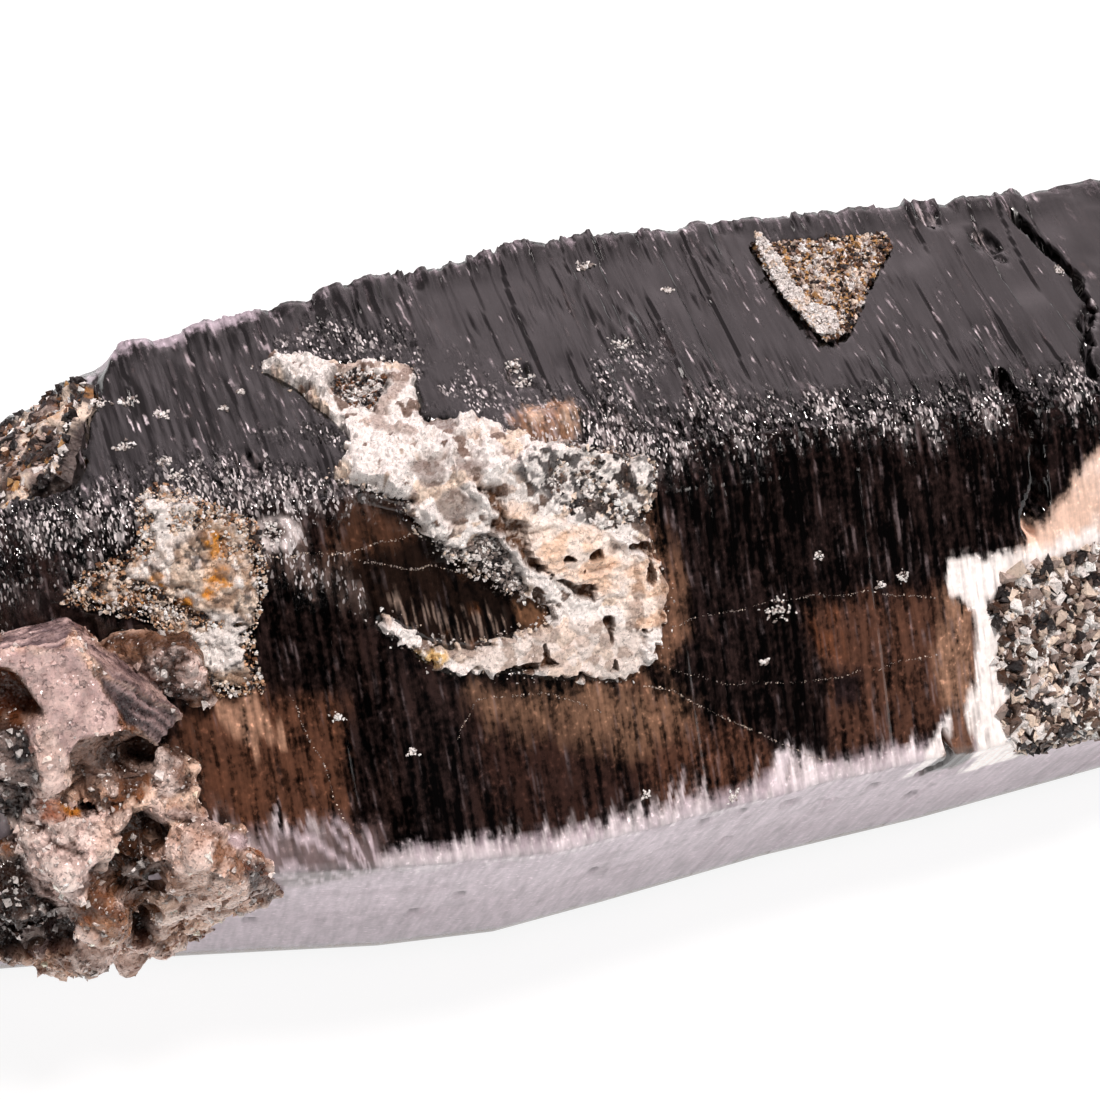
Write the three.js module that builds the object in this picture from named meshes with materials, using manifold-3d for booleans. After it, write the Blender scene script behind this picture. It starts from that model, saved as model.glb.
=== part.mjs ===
// A smoky quartz point lying on one of its prism faces.
// Millimetres. X runs along the crystal towards its point, Y to the back, Z up.
// The origin is on the resting face.
import * as THREE from 'three';
import { ConvexGeometry } from 'three/addons/geometries/ConvexGeometry.js';
import { mergeVertices } from 'three/addons/utils/BufferGeometryUtils.js';
import Module from 'manifold-3d';

const wasm = await Module();
wasm.setup();

// ---- the prism --------------------------------------------------------------

const BASE_X = -36;
const BLANK_END_X = 60;
const APEX = new THREE.Vector3(57, 1.7, 13.2);
const RHOMB_TILT = THREE.MathUtils.degToRad(38.2);
const MINOR_FACE_SETBACK = 2.4;

// Corner lines of the prism: x, height, then the Y of the top face's back and front
// edges and of the resting face's front and back edges.
const SECTIONS = [
  [BASE_X, 33.2, 2.8, -3.2, -2.0, 7.4],
  [-24, 33.8, 3.6, -6.5, -4.3, 7.8],
  [-12, 34.3, 4.3, -9.0, -7.0, 8.4],
  [-6, 34.2, 5.1, -8.9, -7.8, 8.5],
  [0, 33.6, 6.0, -8.5, -7.5, 8.5],
  [9, 31.6, 7.8, -7.6, -6.9, 8.2],
  [18, 30.0, 8.2, -7.1, -6.8, 8.0],
  [36, 27.4, 9.6, -5.9, -5.8, 7.6],
  [BLANK_END_X, 26.4, 9.0, -5.6, -5.6, 7.4],
];

const COS30 = Math.cos(Math.PI / 6);
const SIN30 = 0.5;
const TOP = 0;
const FRONT_UPPER = 1;
const FRONT_LOWER = 2;
const FOOT = 3;
const BACK_LOWER = 4;
const BACK_UPPER = 5;
const FACE_NORMALS = [
  [0, 1],
  [-COS30, SIN30],
  [-COS30, -SIN30],
  [0, -1],
  [COS30, -SIN30],
  [COS30, SIN30],
];
// Rows of surface points across each face, as fractions of its width.
const FACE_ROWS = [
  [0, 0.1, 0.21, 0.32, 0.43, 0.54, 0.65, 0.76, 0.88],
  [0, 0.06, 0.13, 0.2, 0.27, 0.34, 0.41, 0.48, 0.55, 0.62, 0.69, 0.76, 0.83, 0.9, 0.96],
  [0, 0.1, 0.25, 0.45, 0.65, 0.85],
  [0, 0.5],
  [0, 0.15, 0.4, 0.65, 0.9],
  [0, 0.15, 0.4, 0.65, 0.88],
];
const EDGE_BLEND = 0.12;

// Stations along the crystal: close together where the surface is richest.
const FINE_START_X = -30;
const FINE_END_X = 26.5;
const FINE_PITCH = 1.1;
const COARSE_STATIONS_BASE = [BASE_X, -34, -32];
const COARSE_STATIONS_TIP = [28.5, 31, 34, 37, 41, 46, 52, BLANK_END_X];

// ---- relief of the faces ------------------------------------------------------

const LEDGE_HEIGHT = 0.42;
const LEDGE_PITCH = [2.2, 3.3, 2.2, 1, 4.4, 3.3];
const STEPPED_EDGE_WIDTH = 2.4;
const STEPPED_EDGE_DROP = 0.55;
const STEPPED_EDGE_ROUGHNESS = 0.3;
const BREAK_ROUGHNESS = 0.9;
const BREAK_RINGS = [0.7, 0.38];

const HOLLOW_RAMP = 1.0;
const WALL_GAP = 0.3;
const RIM_THICKNESS = 0.45;

// Outlines on the faces: X, then the distance down the front from the upper front edge
// (negative on the top face).
const CRUST_OUTLINE = [
  [-13, -1.4], [-11.6, -3.4], [-13, -7], [-14.8, -9.4], [-12.6, -9.6], [-8.4, -8.3], [-7.6, -7.4],
  [-8, -4], [-5.5, -3.1], [-4.3, -2], [-1.6, -0.2], [1.9, 0.9], [0.9, 3.4], [1.8, 6.9], [1, 9.6],
  [-1, 11.4], [-5.6, 10.1], [-9.7, 9], [-12.5, 6.2], [-11.9, 5.6], [-9.9, 7.4], [-8.1, 8.1],
  [-4.8, 7.9], [-4, 7], [-6.5, 5.5], [-8.9, 3.5], [-10.2, 0.8],
];
const WINDOW_OUTLINE = [
  [-14.9, 3.9], [-13.7, 2], [-12.1, -0.4], [-9.6, 1], [-8, 3.4], [-5.6, 5.6], [-3.4, 6.7],
  [-4.2, 8.3], [-8.1, 8.6], [-11.9, 6.3],
];
const LEFT_CRUST_OUTLINE = [
  [-25.6, 3.9], [-24.6, 2.8], [-21.7, 1.6], [-21.6, -0.6], [-20.3, -1.6], [-19, -0.2], [-16.9, 1],
  [-16.6, 2.6], [-17.1, 4.3], [-17.9, 6.2], [-17.8, 8.7], [-20.1, 8.9], [-20.8, 6.2], [-22.1, 4.9],
];
const TOP_POCKET_OUTLINE = [
  [11.6, -13.4], [11.9, -9], [12.8, -5.6], [14.2, -6.4], [16.5, -9.7], [18.6, -12.2], [18.8, -13.4],
];
const SIDE_POCKET_OUTLINE = [
  [17.8, 10.1], [19.2, 8.4], [22.8, 8], [25.6, 7.4], [29, 8.6], [29.8, 13], [28.4, 18.4],
  [24.4, 20.6], [19.9, 20.4], [17.8, 15.6], [18.8, 14.4], [17.8, 12.9], [18.6, 11.4],
];
const HOLLOWS = [
  { outline: CRUST_OUTLINE, depth: 1.5 },
  { outline: WINDOW_OUTLINE, depth: 3 },
  { outline: LEFT_CRUST_OUTLINE, depth: 1.5 },
  { outline: TOP_POCKET_OUTLINE, depth: 1.5 },
  { outline: SIDE_POCKET_OUTLINE, depth: 1.6 },
];

const HOLLOW_MARGIN = 2.2;

// The broken upper corner of the base: a sloping break that stops at a front wall.
const BREAK_EDGE = new THREE.Vector3(-20.6, 4.3, 33.9);
const BREAK_SLOPE = new THREE.Vector3(-0.62, 0.22, 0.75).normalize();
const BREAK_WALL_Y = -4.2;

// Small pits: x, distance down the front, radius.
const PITS = [
  [2.3, 19.6, 0.7], [7.2, 20.2, 0.8], [9.6, 18.6, 0.8], [12, 21.4, 0.7], [-11, 30, 0.7],
  [24, -11.9, 1.1], [21.6, -14.6, 0.8], [-2.9, -6, 0.9], [2.6, -7, 0.6], [-16.4, -2.4, 0.8],
];
// Open cracks: the points they pass through, as on the outlines.
const CRACKS = [
  [[20.6, -2], [21.3, 3.2], [20.7, 6.6]],
  [[26.9, -12.4], [27.4, -8.6], [26.2, -4.2], [25.2, -1.2]],
  [[14.9, 16.2], [15.4, 18.2], [14.6, 20.6]],
];
const CRACK_WIDTH = 0.9;
const CRACK_DEPTH = 1.4;

// ---- crystals and lumps grown into the base ------------------------------------

// Corners as x, distance down the front, height over the face.
const SIDE_CRYSTALS = [
  [
    [-31, 6, 0.6], [-25.6, 6, 1.4], [-21.2, 9.7, 0.8], [-22.4, 12, 3.4], [-26.4, 9, 5], [-31, 9.4, 5],
    [-23.4, 14.2, 2], [-26, 13.6, 4.4], [-31, 14.4, 4.2], [-27, 10, -3],
  ],
  [
    [-24.6, 6.1, -1], [-22.4, 6.2, 1.3], [-20.7, 7.4, 1.5], [-20.1, 9, 0.7], [-21.4, 10.4, 0.8],
    [-23.6, 8.6, 1.4], [-22.4, 8.6, -2.5],
  ],
  [
    [-23.2, 13.6, 0.8], [-20.4, 15.2, 1.1], [-17.6, 16.3, 0.6], [-18.4, 18.4, 1.6], [-21, 19.2, 2.4],
    [-23.8, 17.4, 2.6], [-21, 17, -3],
  ],
];
// Lumps: x, distance down the front, height over the face, radius, shape number.
const LUMPS = [
  [-21.4, 18.6, 0.4, 2.5, 1], [-24.8, 19.4, 0.2, 3.1, 2], [-28.2, 17.2, 0.8, 3.6, 3],
  [-22.6, 23.8, -0.4, 2.4, 4], [-25.6, 27, -0.6, 3, 5], [-29.8, 24, -0.4, 3.3, 6],
  [-21.2, 30, -0.9, 2.3, 7], [-24.6, 34, -1.4, 2.3, 8], [-33, 12.4, 0.2, 3.4, 9],
  [-32.6, 19.6, 0.2, 3, 10],
];
const LUMP_POINTS = 16;
// Cavities between them: the same measures.
const CAVITIES = [
  [-29.6, 10.6, 4.6, 2, 11], [-25, 17.6, 3.6, 1.7, 12], [-28.4, 21, 3, 1.8, 13], [-30.6, 31, 1.6, 2.6, 14],
];

// ---- crusts and rock ---------------------------------------------------------------

const CRUSTS = [
  {
    name: 'centre_crust', outline: CRUST_OUTLINE, thickness: 0.9, bumps: 1.1,
    points: 13, pointSize: 0.9, seed: 21, color: 0xe8ddd2,
  },
  {
    name: 'left_crust', outline: LEFT_CRUST_OUTLINE, thickness: 0.8, bumps: 1.1,
    points: 6, pointSize: 0.8, seed: 32, color: 0xd9c6ab,
  },
  {
    name: 'side_matrix', outline: SIDE_POCKET_OUTLINE, thickness: 0.9, bumps: 0.9,
    points: 0, pointSize: 0, seed: 23, color: 0x8a7d72,
  },
  {
    name: 'top_matrix', outline: TOP_POCKET_OUTLINE, thickness: 0.8, bumps: 0.9,
    points: 0, pointSize: 0, seed: 24, color: 0x6e5c48,
  },
];
const CRYSTAL_SIDES = 6;
const LEAST_INSIDE = 0.2;
const CRYSTAL_INSIDE = 1.3;
const OUTLINE_HOLD = 0.94;

const BASE_MATRIX = { thickness: 1, bumps: 1.3, pitch: 1.3, reach: 10.4, seed: 25, color: 0x7d6a55 };

const QUARTZ_COLOR = 0x2b1c16;

// ---- helpers -----------------------------------------------------------------------

/** Repeatable scatter in 0..1 from up to three whole numbers. */
function scatter(a, b = 0, c = 0) {
  const wave = Math.sin(a * 127.1 + b * 311.7 + c * 74.7) * 43758.5453;
  return wave - Math.floor(wave);
}

/** The same spread over -1..1. */
function spread(a, b = 0, c = 0) {
  return 2 * scatter(a, b, c) - 1;
}

/** A row of SECTIONS between its neighbours at x. */
function sectionRow(x) {
  const last = SECTIONS.length - 1;
  let i = 1;
  while (i < last && SECTIONS[i][0] < x) i += 1;
  const low = SECTIONS[i - 1];
  const high = SECTIONS[i];
  const t = (x - low[0]) / (high[0] - low[0]);
  return low.map((value, k) => value + t * (high[k] - value));
}

/** The six corners [y, z] of the section at x, from the top face's back edge round the front. */
function sectionCorners(x) {
  const [, height, topBack, topFront, footFront, footBack] = sectionRow(x);
  const half = height / (4 * COS30);
  const slide = (top, foot) => ((top - foot) * COS30) / (2 * SIN30);
  return [
    [topBack, height],
    [topFront, height],
    [(topFront + footFront) / 2 - half, height / 2 - slide(topFront, footFront)],
    [footFront, 0],
    [footBack, 0],
    [(topBack + footBack) / 2 + half, height / 2 + slide(topBack, footBack)],
  ];
}

const distance2 = (p, q) => Math.hypot(p[0] - q[0], p[1] - q[1]);

/** Widths of the six faces at x. */
function faceWidths(x) {
  const corners = sectionCorners(x);
  return corners.map((corner, k) => distance2(corner, corners[(k + 1) % 6]));
}

/** Distance down the front at face k, fraction t. */
function downFront(widths, k, t) {
  const [top, frontUpper, frontLower, foot, , backUpper] = widths;
  if (k === TOP) return (t - 1) * top;
  if (k === BACK_UPPER) return -top + (t - 1) * backUpper;
  const before = [0, 0, frontUpper, frontUpper + frontLower, frontUpper + frontLower + foot][k];
  return before + t * widths[k];
}

/** Face and fraction for a distance down the front. */
function faceAt(widths, down) {
  const [top, frontUpper, frontLower] = widths;
  if (down < -top) return [BACK_UPPER, 1 + (down + top) / widths[BACK_UPPER]];
  if (down < 0) return [TOP, 1 + down / top];
  if (down < frontUpper) return [FRONT_UPPER, down / frontUpper];
  return [FRONT_LOWER, Math.min((down - frontUpper) / frontLower, 1)];
}

/** The outward direction at face k, fraction t, turning gently into its neighbours. */
function outward(k, t) {
  const own = FACE_NORMALS[k];
  const near = t < 0.5 ? FACE_NORMALS[(k + 5) % 6] : FACE_NORMALS[(k + 1) % 6];
  const toEdge = Math.min(t, 1 - t);
  const blend = Math.max(0, 1 - toEdge / EDGE_BLEND);
  const mitre = [(own[0] + near[0]) / 1.5, (own[1] + near[1]) / 1.5];
  return [own[0] + blend * (mitre[0] - own[0]), own[1] + blend * (mitre[1] - own[1])];
}

/** A point lifted off the plain prism at x, face k, fraction t. */
function prismPoint(x, k, t, lift) {
  const corners = sectionCorners(x);
  const a = corners[k];
  const b = corners[(k + 1) % 6];
  const n = outward(k, t);
  return new THREE.Vector3(
    x,
    a[0] + t * (b[0] - a[0]) + lift * n[0],
    a[1] + t * (b[1] - a[1]) + lift * n[1],
  );
}

/** A point lifted off the plain prism at x and a distance down the front. */
function facePoint(x, down, lift) {
  const [k, t] = faceAt(faceWidths(x), down);
  return prismPoint(x, k, t, lift);
}

/** Nearest point of an outline, and the distance inside it (negative outside). */
function insideOutline(outline, x, down) {
  let best = Infinity;
  let nearest = [x, down];
  let inside = false;
  for (let i = 0; i < outline.length; i += 1) {
    const p = outline[i];
    const q = outline[(i + 1) % outline.length];
    const edge = [q[0] - p[0], q[1] - p[1]];
    const along = ((x - p[0]) * edge[0] + (down - p[1]) * edge[1]) / (edge[0] ** 2 + edge[1] ** 2);
    const t = Math.min(Math.max(along, 0), 1);
    const foot = [p[0] + t * edge[0], p[1] + t * edge[1]];
    const gap = distance2(foot, [x, down]);
    if (gap < best) {
      best = gap;
      nearest = foot;
    }
    const crosses = (p[1] > down) !== (q[1] > down);
    if (crosses && x < p[0] + ((down - p[1]) / edge[1]) * edge[0]) inside = !inside;
  }
  return { depth: inside ? best : -best, nearest };
}

function smoothRamp(t) {
  const c = Math.min(Math.max(t, 0), 1);
  return c * c * (3 - 2 * c);
}

/** Share of the stepped upper front edge felt at a place. */
const edgeShare = (down) => Math.max(0, 1 - Math.abs(down) / STEPPED_EDGE_WIDTH);

/** How far the crystal's surface stands off the plain prism. */
function relief(x, k, t, down) {
  if (k === FOOT || (k === BACK_LOWER && t === 0)) return 0;
  let floor = 0;
  let margin = 1;
  HOLLOWS.forEach((hollow) => {
    const { depth } = insideOutline(hollow.outline, x, down);
    floor = Math.min(floor, -hollow.depth * smoothRamp(depth / HOLLOW_RAMP));
    margin = Math.min(margin, smoothRamp(-depth / HOLLOW_MARGIN));
  });
  const share = edgeShare(down);
  const rough = STEPPED_EDGE_ROUGHNESS * spread(Math.round(x * 10), Math.round(down * 10), 3);
  const ledge = LEDGE_HEIGHT * spread(Math.floor(x / LEDGE_PITCH[k] + 0.37 * k), k, 5);
  return floor - share * STEPPED_EDGE_DROP + margin * (ledge + share * rough);
}

/** The same at any place on the front or top. */
function surfaceLift(x, down) {
  const [k, t] = faceAt(faceWidths(x), down);
  return relief(x, k, t, down);
}

/** Geometry from points and index triples. */
function geometryFrom(points, triangles) {
  const geometry = new THREE.BufferGeometry();
  const coordinates = points.flatMap((p) => [p.x, p.y, p.z]);
  geometry.setAttribute('position', new THREE.Float32BufferAttribute(coordinates, 3));
  geometry.setIndex(triangles);
  return geometry;
}

function toSolid(geometry) {
  const bare = geometry.clone();
  bare.deleteAttribute('normal');
  bare.deleteAttribute('uv');
  const merged = mergeVertices(bare, 1e-5);
  return new wasm.Manifold(new wasm.Mesh({
    numProp: 3,
    vertProperties: new Float32Array(merged.attributes.position.array),
    triVerts: new Uint32Array(merged.index.array),
  }));
}

function toGeometry(solid) {
  const mesh = solid.getMesh();
  const geometry = new THREE.BufferGeometry();
  geometry.setAttribute('position', new THREE.BufferAttribute(new Float32Array(mesh.vertProperties), 3));
  geometry.setIndex(new THREE.BufferAttribute(new Uint32Array(mesh.triVerts), 1));
  return geometry;
}

const hull = (points) => toSolid(new ConvexGeometry(points));

/** The convex solid inside all planes { normal, reach }: normal . p <= reach. */
function solidInsidePlanes(planes) {
  const corners = [];
  const rows = new THREE.Matrix3();
  for (let i = 0; i < planes.length; i += 1) {
    for (let j = i + 1; j < planes.length; j += 1) {
      for (let k = j + 1; k < planes.length; k += 1) {
        const [a, b, c] = [planes[i], planes[j], planes[k]];
        rows.set(...a.normal, ...b.normal, ...c.normal);
        if (Math.abs(rows.determinant()) < 1e-6) continue;
        const corner = new THREE.Vector3(a.reach, b.reach, c.reach).applyMatrix3(rows.invert());
        const held = planes.every((p) => corner.dot(new THREE.Vector3(...p.normal)) <= p.reach + 1e-6);
        if (held) corners.push(corner);
      }
    }
  }
  return hull(corners);
}

// ---- building the crystal -------------------------------------------------------------

function stationList() {
  const stations = [...COARSE_STATIONS_BASE];
  for (let x = FINE_START_X; x <= FINE_END_X; x += FINE_PITCH) stations.push(x);
  return [...stations, ...COARSE_STATIONS_TIP];
}

const STATIONS = stationList();
const ROWS = FACE_ROWS.flatMap((fractions, k) => fractions.map((t) => ({ k, t })));

/** Every grid vertex of the crystal's surface: where it is and what it stands on. */
const GRID = STATIONS.map((x) => {
  const widths = faceWidths(x);
  return ROWS.map(({ k, t }) => {
    const down = downFront(widths, k, t);
    const lift = relief(x, k, t, down);
    return { x, down, lift, point: prismPoint(x, k, t, lift) };
  });
});

/** The two triangles of every cell between neighbouring stations and rows, as [i, j] corners. */
function gridTriangles() {
  const triangles = [];
  for (let i = 0; i + 1 < STATIONS.length; i += 1) {
    for (let j = 0; j < ROWS.length; j += 1) {
      const next = (j + 1) % ROWS.length;
      triangles.push([[i, j], [i, next], [i + 1, j]], [[i + 1, j], [i, next], [i + 1, next]]);
    }
  }
  return triangles;
}

function prismBody() {
  const points = GRID.flatMap((ring) => ring.map((vertex) => vertex.point));
  const around = ROWS.length;
  const triangles = gridTriangles().flatMap((corners) => corners.map(([i, j]) => i * around + j));

  // The broken base: rings drawn in to a middle point, rough and open-angled.
  const baseRing = GRID[0].map((vertex) => vertex.point);
  const middle = baseRing.reduce((sum, p) => sum.add(p), new THREE.Vector3()).divideScalar(around);
  let outer = 0;
  BREAK_RINGS.forEach((share, ring) => {
    const start = points.length;
    baseRing.forEach((p, j) => {
      const q = middle.clone().lerp(p, share);
      q.x += BREAK_ROUGHNESS * spread(Math.floor(j / 3), ring, 8);
      points.push(q);
    });
    for (let j = 0; j < around; j += 1) {
      const next = (j + 1) % around;
      triangles.push(start + j, start + next, outer + j, outer + j, start + next, outer + next);
    }
    outer = start;
  });
  points.push(middle);
  const tipStart = (STATIONS.length - 1) * around;
  const tipMiddle = points.push(new THREE.Vector3(BLANK_END_X, APEX.y, APEX.z)) - 1;
  for (let j = 0; j < around; j += 1) {
    const next = (j + 1) % around;
    triangles.push(outer + j, tipMiddle - 1, outer + next);
    triangles.push(tipStart + j, tipStart + next, tipMiddle);
  }
  return toSolid(geometryFrom(points, triangles));
}

/** The six faces of the point, alternate ones set back, on a long six-sided blank. */
function pointEnvelope() {
  const planes = FACE_NORMALS.map(([ny, nz], k) => {
    const setback = k % 2 === 0 ? 0 : MINOR_FACE_SETBACK;
    const normal = [Math.sin(RHOMB_TILT), ny * Math.cos(RHOMB_TILT), nz * Math.cos(RHOMB_TILT)];
    const through = APEX.clone().add(new THREE.Vector3(setback, 0, 0));
    return { normal, reach: through.dot(new THREE.Vector3(...normal)) };
  });
  const far = 90;
  const around = [[-1, 0, 0], [0, 1, 0], [0, -1, 0], [0, 0, 1], [0, 0, -1]];
  around.forEach((normal) => planes.push({ normal, reach: far }));
  return solidInsidePlanes(planes);
}

function lump([x, down, lift, radius, shape]) {
  const centre = facePoint(x, down, lift);
  const points = [];
  for (let i = 0; i < LUMP_POINTS; i += 1) {
    const polar = Math.acos(1 - (2 * (i + 0.5)) / LUMP_POINTS);
    const turn = i * 2.4 + shape;
    const reach = radius * (0.85 + 0.25 * spread(i, shape, 4));
    const p = new THREE.Vector3().setFromSphericalCoords(reach, polar, turn).add(centre);
    p.z = Math.max(p.z, 0.25);
    points.push(p);
  }
  return hull(points);
}

function pit([x, down, radius]) {
  const rim = [0, 1, 2, 3, 4].map((i) => {
    const turn = (i * 2 * Math.PI) / 5 + x;
    return facePoint(x + radius * Math.cos(turn), down + radius * Math.sin(turn), 1.2);
  });
  return hull([...rim, facePoint(x, down, -radius)]);
}

/** V-shaped cuts along a crack, one between each pair of its points. */
function crackCuts(line) {
  const cuts = [];
  for (let i = 0; i + 1 < line.length; i += 1) {
    const ends = [line[i], line[i + 1]];
    const half = CRACK_WIDTH / 2;
    cuts.push(hull(ends.flatMap(([x, down]) => [
      facePoint(x - half, down, 1.5),
      facePoint(x + half, down, 1.5),
      facePoint(x, down, -CRACK_DEPTH),
    ])));
  }
  return cuts;
}

function crystalSolid() {
  let solid = prismBody().intersect(pointEnvelope()).subtract(missingCorner());
  SIDE_CRYSTALS.forEach((corners) => {
    solid = solid.add(hull(corners.map(([x, down, lift]) => facePoint(x, down, lift))));
  });
  LUMPS.forEach((one) => {
    solid = solid.add(lump(one));
  });
  [...CAVITIES.map(lump), ...PITS.map(pit), ...CRACKS.flatMap(crackCuts)].forEach((cut) => {
    solid = solid.subtract(cut);
  });
  return solid;
}

// ---- building the crusts -----------------------------------------------------------------

/** Walls joining the open rims of an upper and a lower sheet with the same triangles. */
function closeSheets(upper, shift) {
  const edges = new Map();
  upper.forEach(([a, b, c]) => {
    [[a, b], [b, c], [c, a]].forEach(([p, q]) => edges.set(`${p},${q}`, [p, q]));
  });
  const rim = [...edges.values()].filter(([p, q]) => !edges.has(`${q},${p}`));
  const walls = rim.flatMap(([p, q]) => [[q, p, p + shift], [q, p + shift, q + shift]]);
  const lower = upper.map(([a, b, c]) => [a + shift, c + shift, b + shift]);
  return [...upper, ...lower, ...walls].flat();
}

/** A lumpy slab lying in its hollow, with its rim drawn to the outline. */
function crustSlab({ outline, thickness, bumps, seed }) {
  const around = ROWS.length;
  const over = [];
  const under = [];
  const placed = new Map();
  const depthAt = (i, j) => insideOutline(outline, GRID[i][j].x, GRID[i][j].down).depth;
  const place = (i, j) => {
    const key = i * around + j;
    if (placed.has(key)) return placed.get(key);
    const { x, down, lift } = GRID[i][j];
    const { depth, nearest } = insideOutline(outline, x, down);
    if (depth > LEAST_INSIDE) {
      const floor = lift + WALL_GAP;
      under.push(facePoint(x, down, floor));
      over.push(facePoint(x, down, floor + thickness + bumps * scatter(i, j, seed)));
    } else {
      const rimX = x + OUTLINE_HOLD * (nearest[0] - x);
      const rimDown = down + OUTLINE_HOLD * (nearest[1] - down);
      const floor = WALL_GAP - edgeShare(rimDown) * STEPPED_EDGE_DROP;
      under.push(facePoint(rimX, rimDown, floor));
      over.push(facePoint(rimX, rimDown, floor + RIM_THICKNESS));
    }
    placed.set(key, over.length - 1);
    return over.length - 1;
  };
  const triangles = [];
  gridTriangles().forEach((triangle) => {
    if (triangle.some(([i, j]) => depthAt(i, j) > LEAST_INSIDE)) {
      triangles.push(triangle.map(([i, j]) => place(i, j)));
    }
  });
  return toSolid(geometryFrom([...over, ...under], closeSheets(triangles, over.length)));
}

/** A short six-sided crystal with a pointed end, standing on the crust at a slant. */
function crustCrystal(x, down, size, shape) {
  const foot = facePoint(x, down, surfaceLift(x, down) + WALL_GAP + 0.5);
  const away = facePoint(x, down, 5).sub(facePoint(x, down, 0)).normalize();
  const slant = new THREE.Vector3(spread(shape, 1), spread(shape, 2), spread(shape, 3));
  away.addScaledVector(slant, 0.45).normalize();
  const turn = new THREE.Quaternion().setFromUnitVectors(new THREE.Vector3(0, 0, 1), away);
  const radius = size * (0.7 + 0.6 * scatter(shape, 4));
  const height = size * (1.2 + 0.9 * scatter(shape, 5));
  const points = [new THREE.Vector3(0, 0, height + radius)];
  for (let i = 0; i < CRYSTAL_SIDES; i += 1) {
    const angle = (i * 2 * Math.PI) / CRYSTAL_SIDES + shape;
    const corner = new THREE.Vector3(radius * Math.cos(angle), radius * Math.sin(angle), 0.35);
    points.push(corner, corner.clone().setZ(height));
  }
  return hull(points.map((p) => p.applyQuaternion(turn).add(foot)));
}

function crustSolid(crust) {
  let solid = crustSlab(crust);
  const xs = crust.outline.map((p) => p[0]);
  const downs = crust.outline.map((p) => p[1]);
  const [lowX, highX] = [Math.min(...xs), Math.max(...xs)];
  const [lowDown, highDown] = [Math.min(...downs), Math.max(...downs)];
  let grown = 0;
  for (let i = 1; grown < crust.points; i += 1) {
    const x = lowX + (highX - lowX) * ((i * 0.7549) % 1);
    const down = lowDown + (highDown - lowDown) * ((i * 0.5698) % 1);
    if (insideOutline(crust.outline, x, down).depth < CRYSTAL_INSIDE) continue;
    solid = solid.add(crustCrystal(x, down, crust.pointSize, crust.seed + grown));
    grown += 1;
  }
  return solid;
}

/** The two planes of the broken corner, drawn in from it by a gap. */
function breakPlanes(gap) {
  const slope = BREAK_SLOPE.clone().negate();
  return [
    { normal: slope.toArray(), reach: slope.dot(BREAK_EDGE) - gap },
    { normal: [0, -1, 0], reach: -BREAK_WALL_Y - gap },
  ];
}

/** The block broken away from the upper corner of the base. */
function missingCorner() {
  const far = 60;
  const around = [[1, 0, 0], [-1, 0, 0], [0, 1, 0], [0, 0, 1], [0, 0, -1]];
  return solidInsidePlanes([...breakPlanes(0), ...around.map((normal) => ({ normal, reach: far }))]);
}

/** The rock on the broken corner: a lumpy sheet over the break, trimmed to the crystal. */
function baseMatrix() {
  const { thickness, bumps, pitch, reach, seed } = BASE_MATRIX;
  const uphill = new THREE.Vector3(0, 1, 0).cross(BREAK_SLOPE).normalize();
  const backward = BREAK_SLOPE.clone().cross(uphill);
  const count = Math.round((2 * reach) / pitch);
  const over = [];
  const under = [];
  const triangles = [];
  for (let i = 0; i <= count; i += 1) {
    for (let j = 0; j <= count; j += 1) {
      const flat = BREAK_EDGE.clone()
        .addScaledVector(uphill, i * pitch - 2 * reach)
        .addScaledVector(backward, j * pitch - reach);
      const height = WALL_GAP + thickness + bumps * scatter(i, j, seed);
      under.push(flat.clone().addScaledVector(BREAK_SLOPE, WALL_GAP));
      over.push(flat.addScaledVector(BREAK_SLOPE, height));
      if (i === 0 || j === 0) continue;
      const a = (i - 1) * (count + 1) + j - 1;
      const b = i * (count + 1) + j - 1;
      triangles.push([a, b, b + 1], [a, b + 1, a + 1]);
    }
  }
  const sheet = toSolid(geometryFrom([...over, ...under], closeSheets(triangles, over.length)));
  const [, height, topBack] = sectionRow(BASE_X);
  const backReach = COS30 * topBack + SIN30 * height;
  return sheet.intersect(solidInsidePlanes([
    breakPlanes(WALL_GAP)[1],
    { normal: [-1, 0, 0], reach: -BASE_X },
    { normal: [1, 0, 0], reach: 0 },
    { normal: [0, COS30, SIN30], reach: backReach },
    { normal: [0, 0, 1], reach: height },
    { normal: [0, 0, -1], reach: 0 },
  ]));
}

// ---- the object ------------------------------------------------------------------------------

const group = new THREE.Group();

function addPiece(name, solid, color) {
  const mesh = new THREE.Mesh(toGeometry(solid), new THREE.MeshStandardMaterial({ color }));
  mesh.name = name;
  group.add(mesh);
}

addPiece('quartz_crystal', crystalSolid(), QUARTZ_COLOR);
CRUSTS.forEach((crust) => addPiece(crust.name, crustSolid(crust), crust.color));
addPiece('base_matrix', baseMatrix(), BASE_MATRIX.color);

export default group;
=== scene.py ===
"""The looks of a smoky quartz point that lies on one of its prism faces.

Lengths are millimetres, as in the model's own sizes, and become metres when a mesh is made.
A place on the front or top is given as X and the distance down the front from the upper
front edge, which is negative on the top face. A zone is an outline of such places. Colours are
screen values of 0 to 255, made linear when they are laid on.
"""

import math

import bmesh
import bpy
import numpy as np
from mathutils import Matrix, Vector


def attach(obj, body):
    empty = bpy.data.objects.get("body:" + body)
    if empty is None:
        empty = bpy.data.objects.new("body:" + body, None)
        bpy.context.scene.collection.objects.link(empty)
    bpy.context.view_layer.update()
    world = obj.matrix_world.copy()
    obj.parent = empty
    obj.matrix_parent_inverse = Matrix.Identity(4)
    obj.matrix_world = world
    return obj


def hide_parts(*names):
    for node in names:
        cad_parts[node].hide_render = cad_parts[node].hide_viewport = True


MM = 0.001

# ---- the prism ----

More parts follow.
